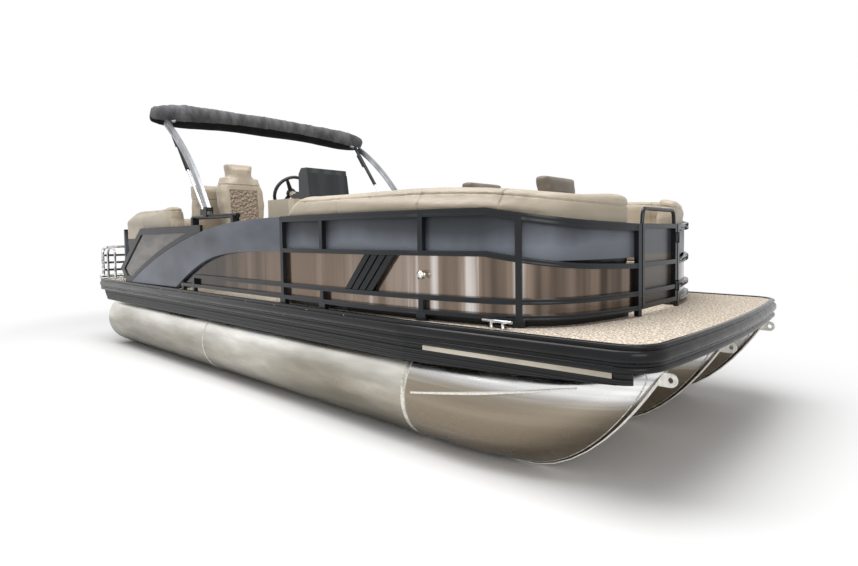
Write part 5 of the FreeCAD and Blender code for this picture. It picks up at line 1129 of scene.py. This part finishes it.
couch_end_x = 1.254
couch_end_run = 0.36
couch_end_z = 1.30
couch_end_power = 2.6
stern_corner_x = -1.72
stern_corner_run = 0.44
stern_corner_power = 2.2
stern_corner_kept = 0.30
deck_port_y = 1.27
helm_back_x = -0.14
helm_middle_y = -0.7595
helm_widths = ((1.10, 0.95), (1.38, 0.84), (1.60, 1.0), (1.76, 0.98), (1.84, 0.84), (2.05, 0.76))
backs = outline_mesh("couch_backs", broad_face)
seats = outline_mesh("couch_seats", broad_face)
chaises = outline_mesh("chaise_backs", fine_face)
helm = outline_mesh("helm_seat", helm_face)
round_end(backs, couch_end_x + couch_end_run, couch_end_run, couch_end_power, 0, 0)
round_end(
    backs, stern_corner_x, stern_corner_run, stern_corner_power, stern_corner_kept, deck_port_y,
)
for pad in helm:
    for point in pad.data.vertices:
        if point.co.x > helm_back_x:
            continue
        for (below, narrow), (above, wide) in zip(helm_widths, helm_widths[1:]):
            if below <= point.co.z <= above:
                share = (point.co.z - below) / (above - below)
                width = narrow + (wide - narrow) * share
                point.co.y = helm_middle_y + (point.co.y - helm_middle_y) * width
                break
cushions = backs + seats + chaises + helm
for pad in cushions:
    smooth_mesh(pad, 3)
fill_covers(cushions)
cross_seams = (-1.55, -0.35, 0.45, 1.95, 2.70, 3.25)
seam_margin = 0.2
cap_drop = 0.040
upright_limit = 0.8
sheer_x = 3.1844
sheer_slope = 0.17


def is_aft_side(point):
    return point.co.x < sheer_x and abs(point.normal.z) < upright_limit


def is_fore_side(point):
    return point.co.x >= sheer_x and abs(point.normal.z) < upright_limit


for pad in backs + seats:
    low = min(v.co.x for v in pad.data.vertices)
    high = max(v.co.x for v in pad.data.vertices)
    top = max(v.co.z for v in pad.data.vertices)
    for place in cross_seams:
        if low + seam_margin < place < high - seam_margin:
            draw_seam(pad, (place, 0, 0), (1, 0, 0))
    if pad in backs:
        draw_seam(pad, (0, 0, top - cap_drop), (0, 0, 1), is_aft_side)
        if high > sheer_x:
            draw_seam(pad, (sheer_x, 0, top - cap_drop), (sheer_slope, 0, 1), is_fore_side)
crown_run = 0.62
crown_height = 0.30
for pad in backs:
    for point in pad.data.vertices:
        near = crown_run - abs(point.co.x - sheer_x)
        if near > 0 and point.co.z > couch_end_z:
            share = (point.co.z - couch_end_z) / crown_height
            point.co.z -= share * sheer_slope * near ** 2 / (4 * crown_run)
headrest_z = 1.66
lumbar_z = 1.30
for pad in chaises:
    for height in (headrest_z, lumbar_z):
        draw_seam(pad, (0, 0, height), (0, 0, 1))
for pad in backs + seats + chaises:
    upholster(pad, "hull")
shell_top = 1.27
shell_fore_x = 3.0
shell_turn = 0.35


def is_on_shell(face):
    outer = face.normal.y * math.copysign(1, face.center.y) > shell_turn
    ahead_of = face.normal.x > shell_turn and face.center.x > shell_fore_x
    return face.center.z < shell_top and (outer or ahead_of)


for pad in backs:
    paint(pad, trim, is_on_shell)
headrest = new_finish("headrest_vinyl", (0.165, 0.140, 0.108), 0.46)
mottle(headrest, 3.0, (0.125, 0.105, 0.080), (0.20, 0.17, 0.135))
grain(headrest, 360.0, 0.0009, 3.0)
for pad in chaises[1:]:
    paint(pad, headrest, lambda face: face.center.z > headrest_z)
for node, pads in (("couch_backs", backs), ("couch_seats", seats), ("chaise_backs", chaises)):
    for pad in pads:
        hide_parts(node)


# Helm seat: a high back, narrow at the waist, with a head part and a brown
# quilted middle, sewn with diamonds.
quilt = new_finish("quilted_vinyl", (0.30, 0.235, 0.175), 0.5)
diamonds = pattern_on(quilt, "ShaderNodeTexVoronoi", Scale=38.0)
diamonds.distance = "MANHATTAN"
# Each diamond is painted darker toward its sunk seams, as painted shade.
quilt_seam_shade_grades = ((0.05, (0.34, 0.27, 0.205)), (0.6, (0.25, 0.19, 0.14)))
ramp_over(quilt, diamonds.outputs["Distance"], quilt_seam_shade_grades)
roughen(quilt, diamonds.outputs["Distance"], -0.010)
quilt_foot = 1.36
quilt_top = 1.745
quilt_half = 0.135
quilt_turn = 0.3
head_seam_z = 1.80


def is_quilt_wide(point):
    return point.normal.x > quilt_turn and abs(point.co.y - helm_middle_y) < quilt_half


def is_quilt_high(point):
    return point.normal.x > quilt_turn and quilt_foot < point.co.z < quilt_top


def is_quilted(face):
    across = abs(face.center.y - helm_middle_y) < quilt_half
    return across and quilt_foot < face.center.z < quilt_top and face.normal.x > quilt_turn


for pad in helm:
    draw_seam(pad, (0, 0, head_seam_z), (0, 0, 1))
    for place in (quilt_foot, quilt_top):
        draw_seam(pad, (0, 0, place), (0, 0, 1), is_quilt_wide)
    for side in (-1, 1):
        draw_seam(pad, (0, helm_middle_y + side * quilt_half, 0), (0, 1, 0), is_quilt_high)
    upholster(pad, "helm_seat")
    paint(pad, quilt, is_quilted)
    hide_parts("helm_seat")


# Boot: black canvas zipped round the folded top. Its upper half is pulled
# into creases by the folded fabric and is painted grey as painted light, and the
# flat strip under the zip is painted near black as painted shade.
canvas = new_finish("boot_canvas", (0.10, 0.10, 0.107), 0.85)
tint(canvas, clouds(canvas, 3.0, (1.5, 4, 1.5)), (0.055, 0.055, 0.060), (0.135, 0.135, 0.142))
grain(canvas, 600.0, 0.0006, 2.0)
# A near-black copy of the canvas for the strip under the zip, as painted shade.
shaded_canvas = new_finish("boot_underside", (0.005, 0.006, 0.008), 0.7, shine=0.12)
mottle(shaded_canvas, 6.0, (0.004, 0.005, 0.007), (0.009, 0.010, 0.013))
arch_slope = math.radians(43.0)
boot_across = Vector((math.sin(arch_slope), 0, math.cos(arch_slope)))
crease_depth = 0.0065
fold_depth = 0.0035
crown_rise = 0.05
zip_width = 0.02
fade_width = 0.05
folds_across = 13
folds_along = 10
boot_low, boot_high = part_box("bimini_boot")
boot = outline_mesh("bimini_boot", fine_face)[0]
boot.name = "boot"
smooth_mesh(boot, 4)
boot.modifiers.new("fine", "SUBSURF").levels = 1
bake_modifiers(boot)
mesh = opened(boot.data)
mesh.normal_update()
boot_middle = (boot_low + boot_high) / 2


def above_zip(place):
    """How far a place on the boot lies above the curved line of its zip."""
    crown = crown_rise * (1 - (place.y / boot_high.y) ** 2)
    return (place - boot_middle).dot(boot_across) - crown + zip_width


for point in mesh.verts:
    upper = min(1, max(0, above_zip(point.co) / fade_width))
    slant = point.co.y * folds_across + (point.co.x + point.co.z) * folds_along
    fold = noise.noise(Vector((slant, point.co.y * 2.0, point.co.x * 3)))
    crease = 1 - abs(noise.noise(Vector((slant * 1.7, point.co.y * 3.0, 4.0)))) * 2.2
    point.co += point.normal * upper * (crease_depth * fold + fold_depth * crease)
put_into(boot.data, mesh)
cover(boot.data, canvas)
paint(boot, shaded_canvas, lambda face: above_zip(face.center) < 0)
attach(boot, "bimini")
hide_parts("bimini_boot")
